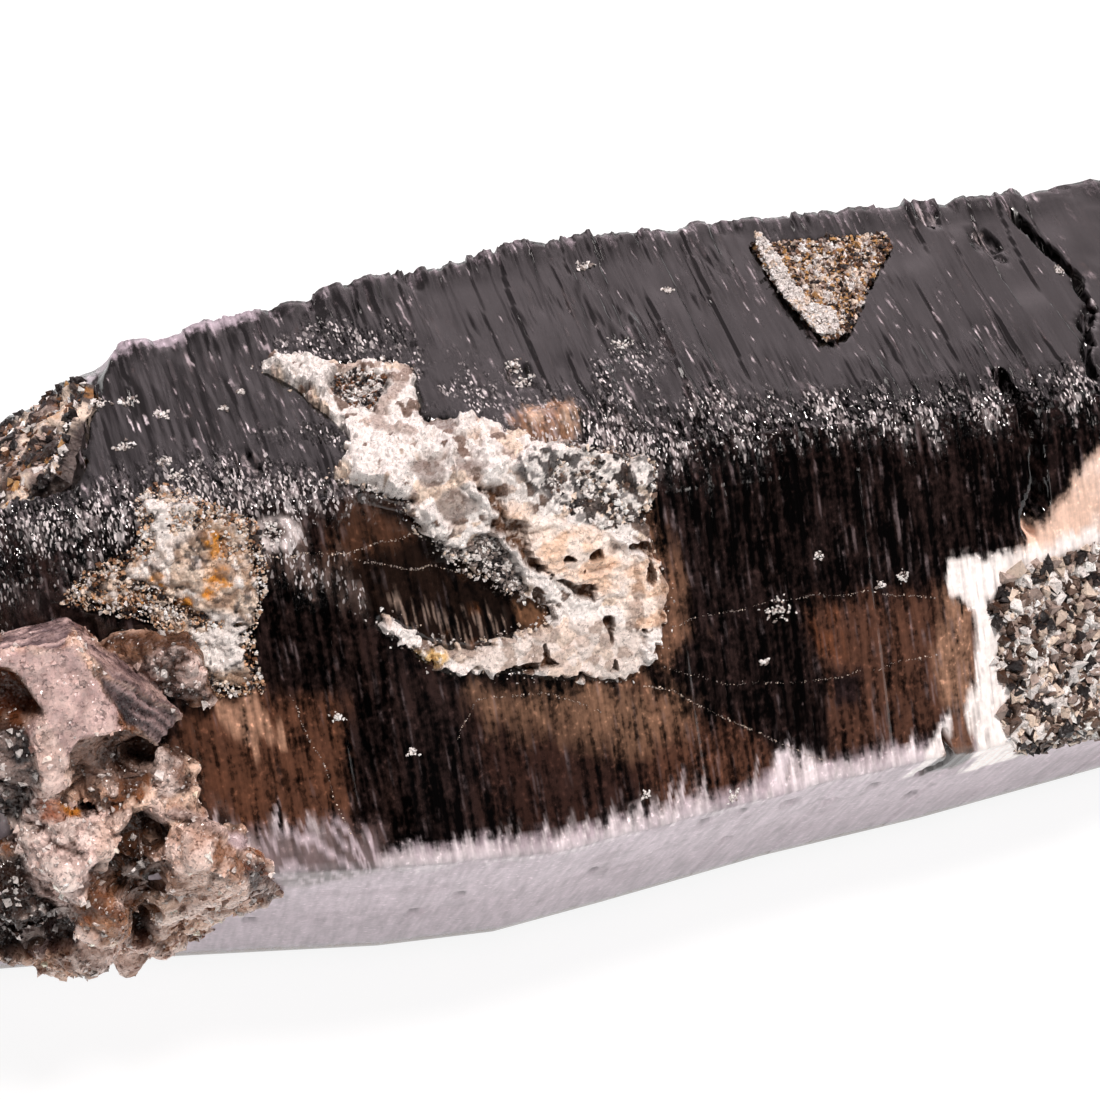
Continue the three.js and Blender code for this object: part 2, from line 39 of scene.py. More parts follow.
BASE_X = -36.0
APEX = np.array([57.0, 1.7, 13.2])
RHOMB_TILT = math.radians(38.2)
MINOR_FACE_SETBACK = 2.4

# x, height, then the Y of the top face's back and front edges and of the resting face's
# front and back edges.
SECTIONS = np.array([
    (BASE_X, 33.2, 2.8, -3.2, -2.0, 7.4),
    (-24, 33.8, 3.6, -6.5, -4.3, 7.8),
    (-12, 34.3, 4.3, -9.0, -7.0, 8.4),
    (-6, 34.2, 5.1, -8.9, -7.8, 8.5),
    (0, 33.6, 6.0, -8.5, -7.5, 8.5),
    (9, 31.6, 7.8, -7.6, -6.9, 8.2),
    (18, 30.0, 8.2, -7.1, -6.8, 8.0),
    (36, 27.4, 9.6, -5.9, -5.8, 7.6),
    (60, 26.4, 9.0, -5.6, -5.6, 7.4),
])

COS30 = math.cos(math.pi / 6)
TOP, FRONT_UPPER, FRONT_LOWER, FOOT, BACK_LOWER, BACK_UPPER = range(6)
FACE_NORMALS = np.array([(0, 1), (-COS30, 0.5), (-COS30, -0.5), (0, -1), (COS30, -0.5), (COS30, 0.5)])
EDGE_BLEND = 0.12

# Outlines on the front and top.
CRUST = [
    (-13, -1.4), (-11.6, -3.4), (-13, -7), (-14.8, -9.4), (-12.6, -9.6), (-8.4, -8.3), (-7.6, -7.4),
    (-8, -4), (-5.5, -3.1), (-4.3, -2), (-1.6, -0.2), (1.9, 0.9), (0.9, 3.4), (1.8, 6.9), (1, 9.6),
    (-1, 11.4), (-5.6, 10.1), (-9.7, 9), (-12.5, 6.2), (-11.9, 5.6), (-9.9, 7.4), (-8.1, 8.1), (-4.8, 7.9),
    (-4, 7), (-6.5, 5.5), (-8.9, 3.5), (-10.2, 0.8),
]
WINDOW = [
    (-14.9, 3.9), (-13.7, 2), (-12.1, -0.4), (-9.6, 1), (-8, 3.4), (-5.6, 5.6), (-3.4, 6.7), (-4.2, 8.3),
    (-8.1, 8.6), (-11.9, 6.3),
]
LEFT_CRUST = [
    (-25.6, 3.9), (-24.6, 2.8), (-21.7, 1.6), (-21.6, -0.6), (-20.3, -1.6), (-19, -0.2), (-16.9, 1),
    (-16.6, 2.6), (-17.1, 4.3), (-17.9, 6.2), (-17.8, 8.7), (-20.1, 8.9), (-20.8, 6.2), (-22.1, 4.9),
]
TOP_POCKET = [
    (11.6, -13.4), (11.9, -9), (12.8, -5.6), (14.2, -6.4), (16.5, -9.7), (18.6, -12.2), (18.8, -13.4),
]
SIDE_POCKET = [
    (17.8, 10.1), (19.2, 8.4), (22.8, 8), (25.6, 7.4), (29, 8.6), (29.8, 13), (28.4, 18.4), (24.4, 20.6),
    (19.9, 20.4), (17.8, 15.6), (18.8, 14.4), (17.8, 12.9), (18.6, 11.4),
]
# Outline, depth, width of the slope down to it.
HOLLOWS = [
    (CRUST, 1.3, 1.0), (WINDOW, 0.0, 3.0), (LEFT_CRUST, 1.3, 1.0), (TOP_POCKET, 1.4, 1.0),
    (SIDE_POCKET, 1.5, 1.0),
]
HOLLOW_MARGIN = 2.2

# The window's upper and lower edges, and its depth under the upper one.
WINDOW_TOP = [(-14.9, 3.9), (-13.7, 2), (-12.1, -0.4), (-9.6, 1), (-8, 3.4), (-5.6, 5.6), (-3.4, 6.7)]
WINDOW_FOOT = [(-14.9, 3.9), (-11.9, 6.3), (-8.1, 8.6), (-4.2, 8.3), (-3.4, 6.7)]
WINDOW_DEPTH = 1.1

# The broken upper corner of the base.
BREAK_EDGE = np.array([-20.6, 4.3, 33.9])
BREAK_SLOPE = np.array([-0.62, 0.22, 0.75]) / math.sqrt(0.62 ** 2 + 0.22 ** 2 + 0.75 ** 2)
BREAK_WALL_Y = -4.2

# ---- the view ----

CAMERA_AZIMUTH = math.radians(-16.5)
CAMERA_ELEVATION = math.radians(44.5)
CAMERA_LENS = 110.0
CAMERA_SENSOR = 36.0
FRAME_PIXELS = 1100
PIXEL_MM = 0.051
LOOK_POINT = np.array([0, 2.0, 17.0])
VIEW_DISTANCE = CAMERA_LENS / CAMERA_SENSOR * FRAME_PIXELS * PIXEL_MM


def view_axes():
    """The view's right, up, and the direction from the object to the camera."""
    away = np.array([
        math.sin(CAMERA_AZIMUTH) * math.cos(CAMERA_ELEVATION),
        -math.cos(CAMERA_AZIMUTH) * math.cos(CAMERA_ELEVATION),
        math.sin(CAMERA_ELEVATION),
    ])
    right = np.array([math.cos(CAMERA_AZIMUTH), math.sin(CAMERA_AZIMUTH), 0])
    return right, np.cross(away, right), away


# ---- relief of the crystal's faces ----

LEDGE_HEIGHT = 0.42
LEDGE_PITCH = np.array([2.2, 3.3, 2.2, 1.0, 4.4, 3.3])
EDGE_WIDTH = 2.4
EDGE_DROP = 0.55

# The glittering stepped edge: where its middle runs and how far it reaches, along X.
GLITTER_X = (-36, -29, -24, -19, -13, -5, 2, 5, 12, 20, 28, 57)
GLITTER_CENTRE = (0.4, 0.6, 0.2, -0.9, -0.5, -0.9, -0.6, -0.9, -0.7, -0.4, -0.2, 0)
GLITTER_HALF = (3.8, 3.6, 3.2, 2.6, 1.8, 1.5, 2.4, 2.6, 2.0, 1.9, 1.9, 1.6)

# How strongly the faces are striated along the crystal.
STRIATION_ALONG = [
    (-36, 0.7), (-27, 0.6), (-24, 0.5), (-18, 0.5), (-13, 1.2), (3, 1.1), (8, 0.8), (20, 0.55), (57, 0.4),
]

# x, distance down the front, radius.
PITS = [
    (2.3, 20.6, 0.4), (7.2, 21.2, 0.6), (9.9, 23.2, 0.45), (12, 21.4, 0.35), (-11, 30, 0.4),
    (24, -11.9, 0.9), (21.6, -14.6, 0.7), (-2.9, -6, 0.7), (2.6, -7, 0.4), (-16.4, -2.4, 0.6),
    (5.1, 27.6, 0.3), (-2.4, 27.1, 0.3), (15.4, 26.4, 0.4), (-19, 29.8, 0.4), (-9.2, 26.8, 0.35),
    (4.3, 20.0, 0.3),
]
# Points, half width, depth.
CRACKS = [
    ([(20.6, -2), (21.3, 1.2), (21.5, 3.2), (20.7, 6.6)], 0.3, 1.3),
    ([(26.3, -13.4), (26.9, -11), (27.4, -8.6), (27.2, -6), (26.2, -4.2), (25.2, -1.2)], 0.2, 1.0),
    ([(14.9, 16.2), (15.4, 18.2), (14.6, 20.6)], 0.22, 0.7),
]

# ---- noise ----

OCTAVES = 3


def scatter(a, b=0.0, c=0.0):
    """Repeatable scatter in 0..1 from up to three numbers."""
    wave = np.sin(a * 127.1 + b * 311.7 + c * 74.7) * 43758.5453
    return wave - np.floor(wave)


def spread(a, b=0.0, c=0.0):
    """Repeatable scatter in -1..1."""
    return 2.0 * scatter(a, b, c) - 1.0


def ramp(t):
    """A smooth step from 0 to 1."""
    c = np.clip(t, 0.0, 1.0)
    return c * c * (3.0 - 2.0 * c)


def cloud(u, v, seed, w=0.0):
    """Smooth noise in -1..1 with features about one unit across."""
    iu, iv, iw = np.floor(u), np.floor(v), np.floor(w)
    fu, fv, fw = ramp(u - iu), ramp(v - iv), ramp(w - iw)
    total = 0.0
    for du in (0, 1):
        for dv in (0, 1):
            for dw in (0, 1):
                share = (fu if du else 1 - fu) * (fv if dv else 1 - fv) * (fw if dw else 1 - fw)
                total = total + share * spread(iu + du, iv + dv, iw + dw + 13.7 * seed)
    return total


def clouds(u, v, seed, w=0.0):
    """Several sizes of smooth noise, each half the one before."""
    total, size, reach = 0.0, 1.0, 0.0
    for octave in range(OCTAVES):
        total = total + size * cloud(u / size, v / size, seed + octave, w / size)
        reach += size
        size *= 0.5
    return total / reach


def slats(x, down, pitch, length, seed):
    """Growth slats, narrow along the crystal and long across the face: -1..1."""
    bent = x + 0.35 * pitch * cloud(x / (4 * pitch), down / length, seed + 5)
    column = np.floor(bent / pitch)
    place = down / length + 9.0 * scatter(column, seed)
    row = np.floor(place)
    mix = ramp((place - row) / 0.3)
    here = spread(column, row, seed)
    before = spread(column, row - 1, seed)
    tilt = spread(column, row, seed + 0.5) * (bent / pitch - column - 0.5)
    return 0.75 * (before + mix * (here - before)) + 0.5 * tilt


def druse(u, v, size, seed, slope):
    """The upper surface of crowded small six-sided points: height in sizes, a number of each."""
    gu, gv = u / size, v / size
    iu, iv = np.floor(gu), np.floor(gv)
    top = np.full(np.shape(gu), -9.0)
    mark = np.zeros(np.shape(gu))
    for du in (-1, 0, 1):
        for dv in (-1, 0, 1):
            cu, cv = iu + du, iv + dv
            a = gu - cu - scatter(cu, cv, seed)
            b = gv - cv - scatter(cu, cv, seed + 1)
            turn = 6.28 * scatter(cu, cv, seed + 2)
            reach = 0.0
            for side in range(3):
                angle = turn + side * math.pi / 3
                reach = np.maximum(reach, np.abs(a * np.cos(angle) + b * np.sin(angle)))
            lean = 0.5 * (a * np.cos(3 * turn) + b * np.sin(3 * turn))
            height = 0.3 + 0.6 * scatter(cu, cv, seed + 3) + lean - slope * np.maximum(reach - 0.12, 0)
            mark = np.where(height > top, scatter(cu, cv, seed + 4), mark)
            top = np.maximum(top, height)
    return top, mark


# ---- places on the prism ----


def section_corners(x):
    """Y and Z of the six corners of the sections at x."""
    height, top_back, top_front, foot_front, foot_back = (
        np.interp(x, SECTIONS[:, 0], SECTIONS[:, c]) for c in range(1, 6)
    )
    half = height / (4 * COS30)
    flat = np.zeros_like(height)
    y = [top_back, top_front, (top_front + foot_front) / 2 - half,
         foot_front, foot_back, (top_back + foot_back) / 2 + half]
    z = [height, height, height / 2 - COS30 * (top_front - foot_front),
         flat, flat, height / 2 + COS30 * (top_back - foot_back)]
    return np.stack(y, -1), np.stack(z, -1)


def face_widths(x):
    """Width of each of the six faces at x."""
    y, z = section_corners(x)
    return np.hypot(np.roll(y, -1, -1) - y, np.roll(z, -1, -1) - z)


def down_front(x, k, t):
    """Distance down the front at face k, fraction t."""
    w = face_widths(x)
    i = np.arange(len(x))
    before = np.stack([
        -w[:, 0], 0 * w[:, 0], w[:, 1], w[:, 1] + w[:, 2], w[:, 1:4].sum(1), -w[:, 0] - w[:, 5],
    ], -1)
    return before[i, k] + t * w[i, k]


def face_at(x, down):
    """Face and fraction for a distance down the front."""
    w = face_widths(x)
    k = np.select([down < -w[:, 0], down < 0, down < w[:, 1]], [BACK_UPPER, TOP, FRONT_UPPER], FRONT_LOWER)
    t = np.select(
        [k == BACK_UPPER, k == TOP, k == FRONT_UPPER],
        [1 + (down + w[:, 0]) / w[:, 5], 1 + down / w[:, 0], down / w[:, 1]],
        (down - w[:, 1]) / w[:, 2],
    )
    return k, np.clip(t, 0, 1)


def prism_points(x, k, t, lift):
    """Points lifted off the plain prism at x, face k, fraction t."""
    y, z = section_corners(x)
    i = np.arange(len(x))
    near = np.where(t < 0.5, (k + 5) % 6, (k + 1) % 6)
    blend = np.clip(1 - np.minimum(t, 1 - t) / EDGE_BLEND, 0, 1)[:, None]
    own = FACE_NORMALS[k]
    normal = own + blend * ((own + FACE_NORMALS[near]) / 1.5 - own)
    after = (k + 1) % 6
    return np.stack([
        x,
        y[i, k] + t * (y[i, after] - y[i, k]) + lift * normal[:, 0],
        z[i, k] + t * (z[i, after] - z[i, k]) + lift * normal[:, 1],
    ], -1)


def face_points(x, down, lift):
    """Points lifted off the front or top at x and a distance down the front."""
    x, down, lift = (np.atleast_1d(np.asarray(a, float)) for a in (x, down, lift))
    k, t = face_at(x, down)
    return prism_points(x, k, t, lift)


def off_line(line, x, down):
    """Distance from an open line of points."""
    gap = np.full(np.shape(x), np.inf)
    for p, q in zip(line, line[1:]):
        ex, ey = q[0] - p[0], q[1] - p[1]
        t = np.clip(((x - p[0]) * ex + (down - p[1]) * ey) / (ex * ex + ey * ey), 0, 1)
        gap = np.minimum(gap, np.hypot(x - p[0] - t * ex, down - p[1] - t * ey))
    return gap


def inside(outline, x, down):
    """Distance inside an outline, negative outside it."""
    closed = outline + outline[:1]
    within = np.zeros(np.shape(x), bool)
    for p, q in zip(closed, closed[1:]):
        if q[1] != p[1]:
            edge_x = p[0] + (down - p[1]) / (q[1] - p[1]) * (q[0] - p[0])
            within ^= ((p[1] > down) != (q[1] > down)) & (x < edge_x)
    gap = off_line(closed, x, down)
    return np.where(within, gap, -gap)


def point_planes():
    """Normals and reaches of the six faces of the point."""
    normals, reaches = [], []
    for k, (ny, nz) in enumerate(FACE_NORMALS):
        normal = np.array([math.sin(RHOMB_TILT), ny * math.cos(RHOMB_TILT), nz * math.cos(RHOMB_TILT)])
        setback = 0 if k % 2 == 0 else MINOR_FACE_SETBACK
        normals.append(normal)
        reaches.append(normal @ (APEX + np.array([setback, 0, 0])))
    return np.array(normals), np.array(reaches)


def point_x(yz):
    """X of the point's faces over places (y, z)."""
    normals, reaches = point_planes()
    return ((reaches - yz @ normals[:, 1:].T) / normals[:, 0]).min(-1)


# ---- meshes ----


def mesh_object(name, points, faces, material, flat, tint, marks=None):
    """An object from points in mm and one array of triangles or quads, with vertex colours."""
    mesh = bpy.data.meshes.new(name)
    corners = faces.shape[1]
    mesh.vertices.add(len(points))
    mesh.vertices.foreach_set("co", (points * MM).astype(np.float32).ravel())
    mesh.loops.add(faces.size)
    mesh.loops.foreach_set("vertex_index", faces.astype(np.int32).ravel())
    mesh.polygons.add(len(faces))
    mesh.polygons.foreach_set("loop_start", np.arange(0, faces.size, corners, dtype=np.int32))
    mesh.polygons.foreach_set("use_smooth", ~flat)
    mesh.update(calc_edges=True)
    for label, values in (("tint", tint), ("marks", marks)):
        if values is not None:
            colours = mesh.color_attributes.new(label, "FLOAT_COLOR", "POINT")
            rgba = np.ones((len(points), 4), np.float32)
            rgba[:, :3] = values
            colours.data.foreach_set("color", rgba.ravel())
    if material:
        mesh.materials.append(material)
    obj = bpy.data.objects.new(name, mesh)
    bpy.context.scene.collection.objects.link(obj)
    return obj


class Heap:
    """Closed triangle meshes gathered into one."""

    def __init__(self):
        self.points, self.faces, self.tints, self.count = [], [], [], 0

    def add(self, points, faces, tints):
        self.points.append(points)
        self.faces.append(faces + self.count)
        self.tints.append(np.broadcast_to(tints, points.shape))
        self.count += len(points)

    def build(self, name, material):
        faces = np.concatenate(self.faces)
        flat = np.ones(len(faces), bool)
        return mesh_object(
            name, np.concatenate(self.points), faces, material, flat, np.concatenate(self.tints),
        )


def linear(*srgb):
    """A colour of 0..255 screen values as linear light."""
    c = np.array(srgb) / 255.0
    return np.where(c <= 0.04045, c / 12.92, ((c + 0.055) / 1.055) ** 2.4)


def random_turns(count, rng):
    """Random rotation matrices."""
    q = rng.normal(size=(count, 4))
    w, x, y, z = (q / np.linalg.norm(q, axis=1, keepdims=True)).T
    return np.stack([
        np.stack([1 - 2 * (y * y + z * z), 2 * (x * y - z * w), 2 * (x * z + y * w)], -1),
        np.stack([2 * (x * y + z * w), 1 - 2 * (x * x + z * z), 2 * (y * z - x * w)], -1),
        np.stack([2 * (x * z - y * w), 2 * (y * z + x * w), 1 - 2 * (x * x + y * y)], -1),
    ], -2)


def add_grains(heap, centres, sizes, tints, rng, stretch=0.35):
    """Irregular angular grains, each a jittered closed octahedron."""
    shape = np.array([(1, 0, 0), (-1, 0, 0), (0, 1, 0), (0, -1, 0), (0, 0, 1), (0, 0, -1)], float)
    faces = np.array([
        (0, 2, 4), (2, 1, 4), (1, 3, 4), (3, 0, 4), (2, 0, 5), (1, 2, 5), (3, 1, 5), (0, 3, 5),
    ])
    count = len(centres)
    scale = 1 + stretch * rng.uniform(-1, 1, (count, 1, 3))
    points = (shape[None] + rng.uniform(-0.35, 0.35, (count, 6, 3))) * scale * (0.6 * sizes)[:, None, None]
    points = np.einsum("nij,nkj->nki", random_turns(count, rng), points) + centres[:, None, :]
    offsets = np.arange(count)[:, None, None] * len(shape)
    faces = (faces[None] + offsets).reshape(-1, 3)
    heap.add(points.reshape(-1, 3), faces, np.repeat(tints, len(shape), 0))


def scattered_in(outline, count, rng, margin):
    """Random places inside an outline: x and down."""
    low = np.min(outline, 0)
    high = np.max(outline, 0)
    tries = rng.uniform(low, high, (count * 6, 2))
    held = tries[inside(outline, tries[:, 0], tries[:, 1]) > margin][:count]
    return held[:, 0], held[:, 1]


# ---- the crystal ----

FINE_X = (-30.0, 28.0)
FINE_PITCH = 0.09
BASE_COLUMNS = 16
TIP_COLUMNS = 22
POINT_COLUMNS = 20
BASE_RINGS = 15
# Rows of points round the crystal, closest at the front edge. For each face in turn, spans of it:
# from and to as fractions of its width, and the number of rows.
FACE_ROWS = [
    [(0, 0.8, 26), (0.8, 1, 15)],
    [(0, 0.18, 19), (0.18, 1, 38)],
    [(0, 0.6, 16), (0.6, 1, 5)],
    [(0, 1, 2)],
    [(0, 1, 5)],
    [(0, 1, 9)],
]

# Screen colours of the plain crystal, its point and the dark and milky parts of its broken end.
BODY_COLOUR = (22, 13, 10)
BODY_ROUGHNESS = 0.07
POINT_COLOUR = (52, 40, 36)
POINT_MARKS = (1.0, 0.1, 0.0)
BASE_DARK = (36, 26, 23)
BASE_MILKY = (120, 104, 98)
# The striated faces fade towards the plain point from this X over this length.
PLAIN_FROM = 34
PLAIN_OVER = 6
PLAIN_SHARE = 0.25

# Zones of the front and top, as outlines.
BROWN_LEFT = [
    (-21.1, 9.4), (-17.9, 8.9), (-14.0, 9.7), (-14.8, 16.2), (-17.3, 15.9), (-20.4, 15.0), (-23.3, 13.4),
    (-22.3, 11.4),
]
TAN_PATCH = [(-19.9, 9.3), (-18.0, 8.9), (-17.6, 11.2), (-18.6, 12), (-19.6, 10.8)]
BROWN_LOW = [(-8.3, 10.6), (-1.7, 12.7), (-0.6, 17.1), (-3.5, 18.2), (-8.3, 17.9), (-8.8, 14.9)]
TAN_VEIL = [
    (-8.5, 10.1), (-4.3, 10.5), (-0.5, 11.7), (1.9, 12.7), (1.2, 14.6), (-0.8, 14.8), (-4.8, 13.2),
    (-7.9, 12.1),
]
RIGHT_OF_CRUST = [(1.2, 2), (2.4, 4.6), (2.2, 7), (2.6, 9.4), (1, 10.6), (-1.6, 11.4), (-2, 6), (-0.6, 2)]
BROWN_RIGHT = [
    (8.9, 9.0), (9.6, 8.5), (11.4, 8.4), (14.3, 9.0), (15.7, 8.9), (17.3, 9.9), (17.3, 11.1), (16.9, 13.1),
    (16.4, 14.8), (15.3, 15.1), (13.6, 16.0), (11.8, 16.6), (10.4, 16.6), (8.6, 16.5), (8.3, 14.1),
    (9.1, 12.7), (8.9, 11.2),
]
TAN_RIGHT = [
    (15.7, 8.9), (17.3, 9.9), (17.3, 11.1), (16.9, 13.1), (16.4, 14.8), (15.6, 15.0), (15.0, 13.5),
    (14.7, 11.9), (15.5, 10.5),
]
BLACK_SPOTS = [
    [(9.4, 12.2), (10.7, 12.3), (10.5, 14.0), (9.2, 13.9)],
    [(7.5, 15.2), (8.4, 15.3), (8.3, 16.2), (7.4, 16.1)],
]
WARM_RIGHT = [
    (-0.5, 11.7), (1.2, 12.4), (2.4, 13.4), (5.7, 15.4), (8.4, 17.1), (6.2, 17.8), (2.1, 18.2),
    (-0.5, 17.8), (-1.2, 16.3),
]
MILKY_RIGHT = [
    (16.1, 9.0), (15.7, 8.2), (16.2, 7.4), (19.2, 7.6), (20.2, 7.3), (24.7, 6.8), (30, 6.4), (30, 9.4),
    (25.6, 8.4), (22.8, 8.6), (19.7, 8.6), (18.7, 9.2), (18.0, 9.8), (18.9, 10.8), (18.4, 12.1),
    (18.0, 13.1), (20.0, 14.2), (19.9, 14.8), (18.0, 15.5), (18.4, 16.8), (20.6, 22.4), (17.2, 22.6),
    (16.5, 16.7), (16.3, 14.8), (16.7, 13.1), (17.1, 11.1), (17.1, 9.9),
]
DARK_TRIANGLE = [(15.3, 15.2), (16.8, 15.3), (16.4, 16.6), (16.6, 20.4), (14.6, 21.4), (14.1, 17.6)]
WHITE_SPIKE = [
    (15.2, 15.1), (15.1, 16.0), (14.5, 17.4), (14.0, 20.7), (13.4, 21.0), (13.7, 16.9), (14.5, 15.8),
]
PINK_WEDGE = [
    (19.0, 8.0), (19.6, 7.8), (20.2, 7.0), (21.6, 6.0), (23.1, 4.6), (24.9, 2.9), (30, 0.6), (30, 8),
    (22.5, 8.3),
]
WINDOW_UPPER = [
    (-14.6, 3.4), (-13.4, 1.4), (-11.9, -0.6), (-9.8, 0.6), (-8.6, 2.4), (-10.4, 2.6), (-12.6, 3.0),
]
HOT_SPOT = [(8.9, 9.2), (9.8, 9.3), (9.6, 11.3), (8.9, 11.2)]
GLASS_BUMP = [
    (-4.1, -3.0), (-3.1, -3.7), (-0.9, -3.4), (-0.8, -2.4), (-1.5, -1.1), (-2.6, -0.6), (-3.8, -1.1),
]
SILVER_TEETH = [
    (-11.6, 5.0), (-10.7, 5.0), (-9.1, 6.2), (-6.4, 7.2), (-6.6, 8.2), (-9.5, 7.9), (-11.2, 6.9),
]
BROWN_BALL = [(-5.8, 6.5), (-4.8, 6.4), (-4.0, 6.8), (-3.9, 7.6), (-4.5, 8.0), (-5.8, 7.8)]
BALL_HOLLOW = [(-3.7, 6.6), (-2.7, 6.7), (-1.8, 7.2), (-2.1, 7.9), (-3.3, 7.7)]
LEFT_HALO = [
    (-17.4, 3.1), (-17.2, 1.0), (-15.2, 0.8), (-14.3, 2.7), (-13.7, 3.3), (-12.8, 5.2), (-14.6, 4.4),
    (-16.6, 4.4),
]
FROST_TOP = [
    (-30, 14), (-22, 15.2), (-17.3, 16.3), (-12.9, 18.6), (-8, 19.5), (-3.2, 19.0), (-1.5, 18.1),
    (2.1, 18.2), (5.1, 17.5), (8.5, 17.2), (11.7, 17.4), (13.6, 18.9), (17.0, 21.0), (22.3, 21.8), (30, 20),
]
TOP_FLECKS = [
    [(-13.6, -11.1), (-10.5, -12.0), (-7.2, -9.7), (-7.5, -7.1), (-9.1, -8.0), (-10.8, -8.8),
     (-13.4, -9.3)],
    [(1.2, -7.0), (3.3, -6.4), (3.1, -2.7), (1.7, -1.5), (0.2, -3.1)],
    [(-5.2, -8.1), (-4.3, -4.2), (-5.6, -3.1), (-6.8, -5.6)],
    [(-16.4, -4.7), (-14.8, -4.9), (-11.5, -4.5), (-12.5, -3.6), (-15.9, -3.8)],
]
FIBRES = [
    (-19.1, 15.8), (-17.6, 15.4), (-15.0, 15.3), (-13.7, 16.1), (-13.4, 18.5), (-15.5, 20.6), (-18.1, 22.1),
]

# Brown glows under the front face, painted: the quartz's brown with the light through it as colour.
# Outline, softness, colour, least and most share, cloudiness, seed.
GLOWS = [
    (WARM_RIGHT, 1.2, (90, 59, 45), 0.25, 0.9, 0.85, 71),
    (BROWN_LOW, 2.0, (50, 31, 25), 0.25, 0.95, 0.85, 72),
    (TAN_VEIL, 1.7, (136, 103, 82), 0.1, 1.0, 0.9, 73),
    (RIGHT_OF_CRUST, 1.0, (128, 94, 74), 0.15, 0.9, 0.9, 74),
    (BROWN_LEFT, 1.6, (102, 67, 50), 0.3, 1.0, 0.9, 75),
    (TAN_PATCH, 0.4, (166, 128, 106), 0.7, 1.0, 0.95, 76),
    (BROWN_RIGHT, 1.5, (88, 59, 46), 0.3, 1.0, 0.9, 77),
    (HOT_SPOT, 1.0, (140, 80, 42), -0.5, 0.75, 0.9, 83),
    (TAN_RIGHT, 1.3, (158, 122, 100), 0.4, 1.0, 0.95, 78),
]
# Fine bright streaks on the front, painted glints along the striations: pitch, length, share of the places,
# seed.
GLINT_STREAKS = [(0.1, 1.3, 0.07, 67), (0.12, 2.6, 0.025, 167), (0.18, 0.8, 0.02, 168)]


def row_list():
    """Face and fraction of each row of points round the crystal."""
    fractions = [
        np.concatenate([np.linspace(*span, endpoint=False) for span in spans]) for spans in FACE_ROWS
    ]
    k = np.concatenate([np.full(len(f), face) for face, f in enumerate(fractions)])
    return k, np.concatenate(fractions)


def column_list(k, t):
    """X of every column at every row: level along the body, then drawn to the point's rim."""
    around = len(k)
    end = np.full(around, 45.0)
    for _ in range(8):
        end = point_x(prism_points(end, k, t, np.zeros(around))[:, 1:])
    base = np.linspace(BASE_X, FINE_X[0], BASE_COLUMNS, endpoint=False)
    fine = np.arange(FINE_X[0], FINE_X[1], FINE_PITCH)
    level = np.concatenate([base, fine])
    drawn = np.linspace(0, 1, TIP_COLUMNS + 1)[1:]
    return np.concatenate([
        np.repeat(level[:, None], around, 1),
        fine[-1] + drawn[:, None] * (end[None] - fine[-1]),
    ])


def needles(x, down, pitch, length, share, seed):
    """Thin slivers along the growth lines: 1 at the middle of each, 0 between them."""
    column = np.floor(x / pitch)
    place = down / length + 9.0 * scatter(column, seed)
    row = np.floor(place)
    chosen = scatter(column, row, seed + 1) < share
    return chosen * ramp(2.2 * (1 - np.abs(2 * (place - row) - 1)))


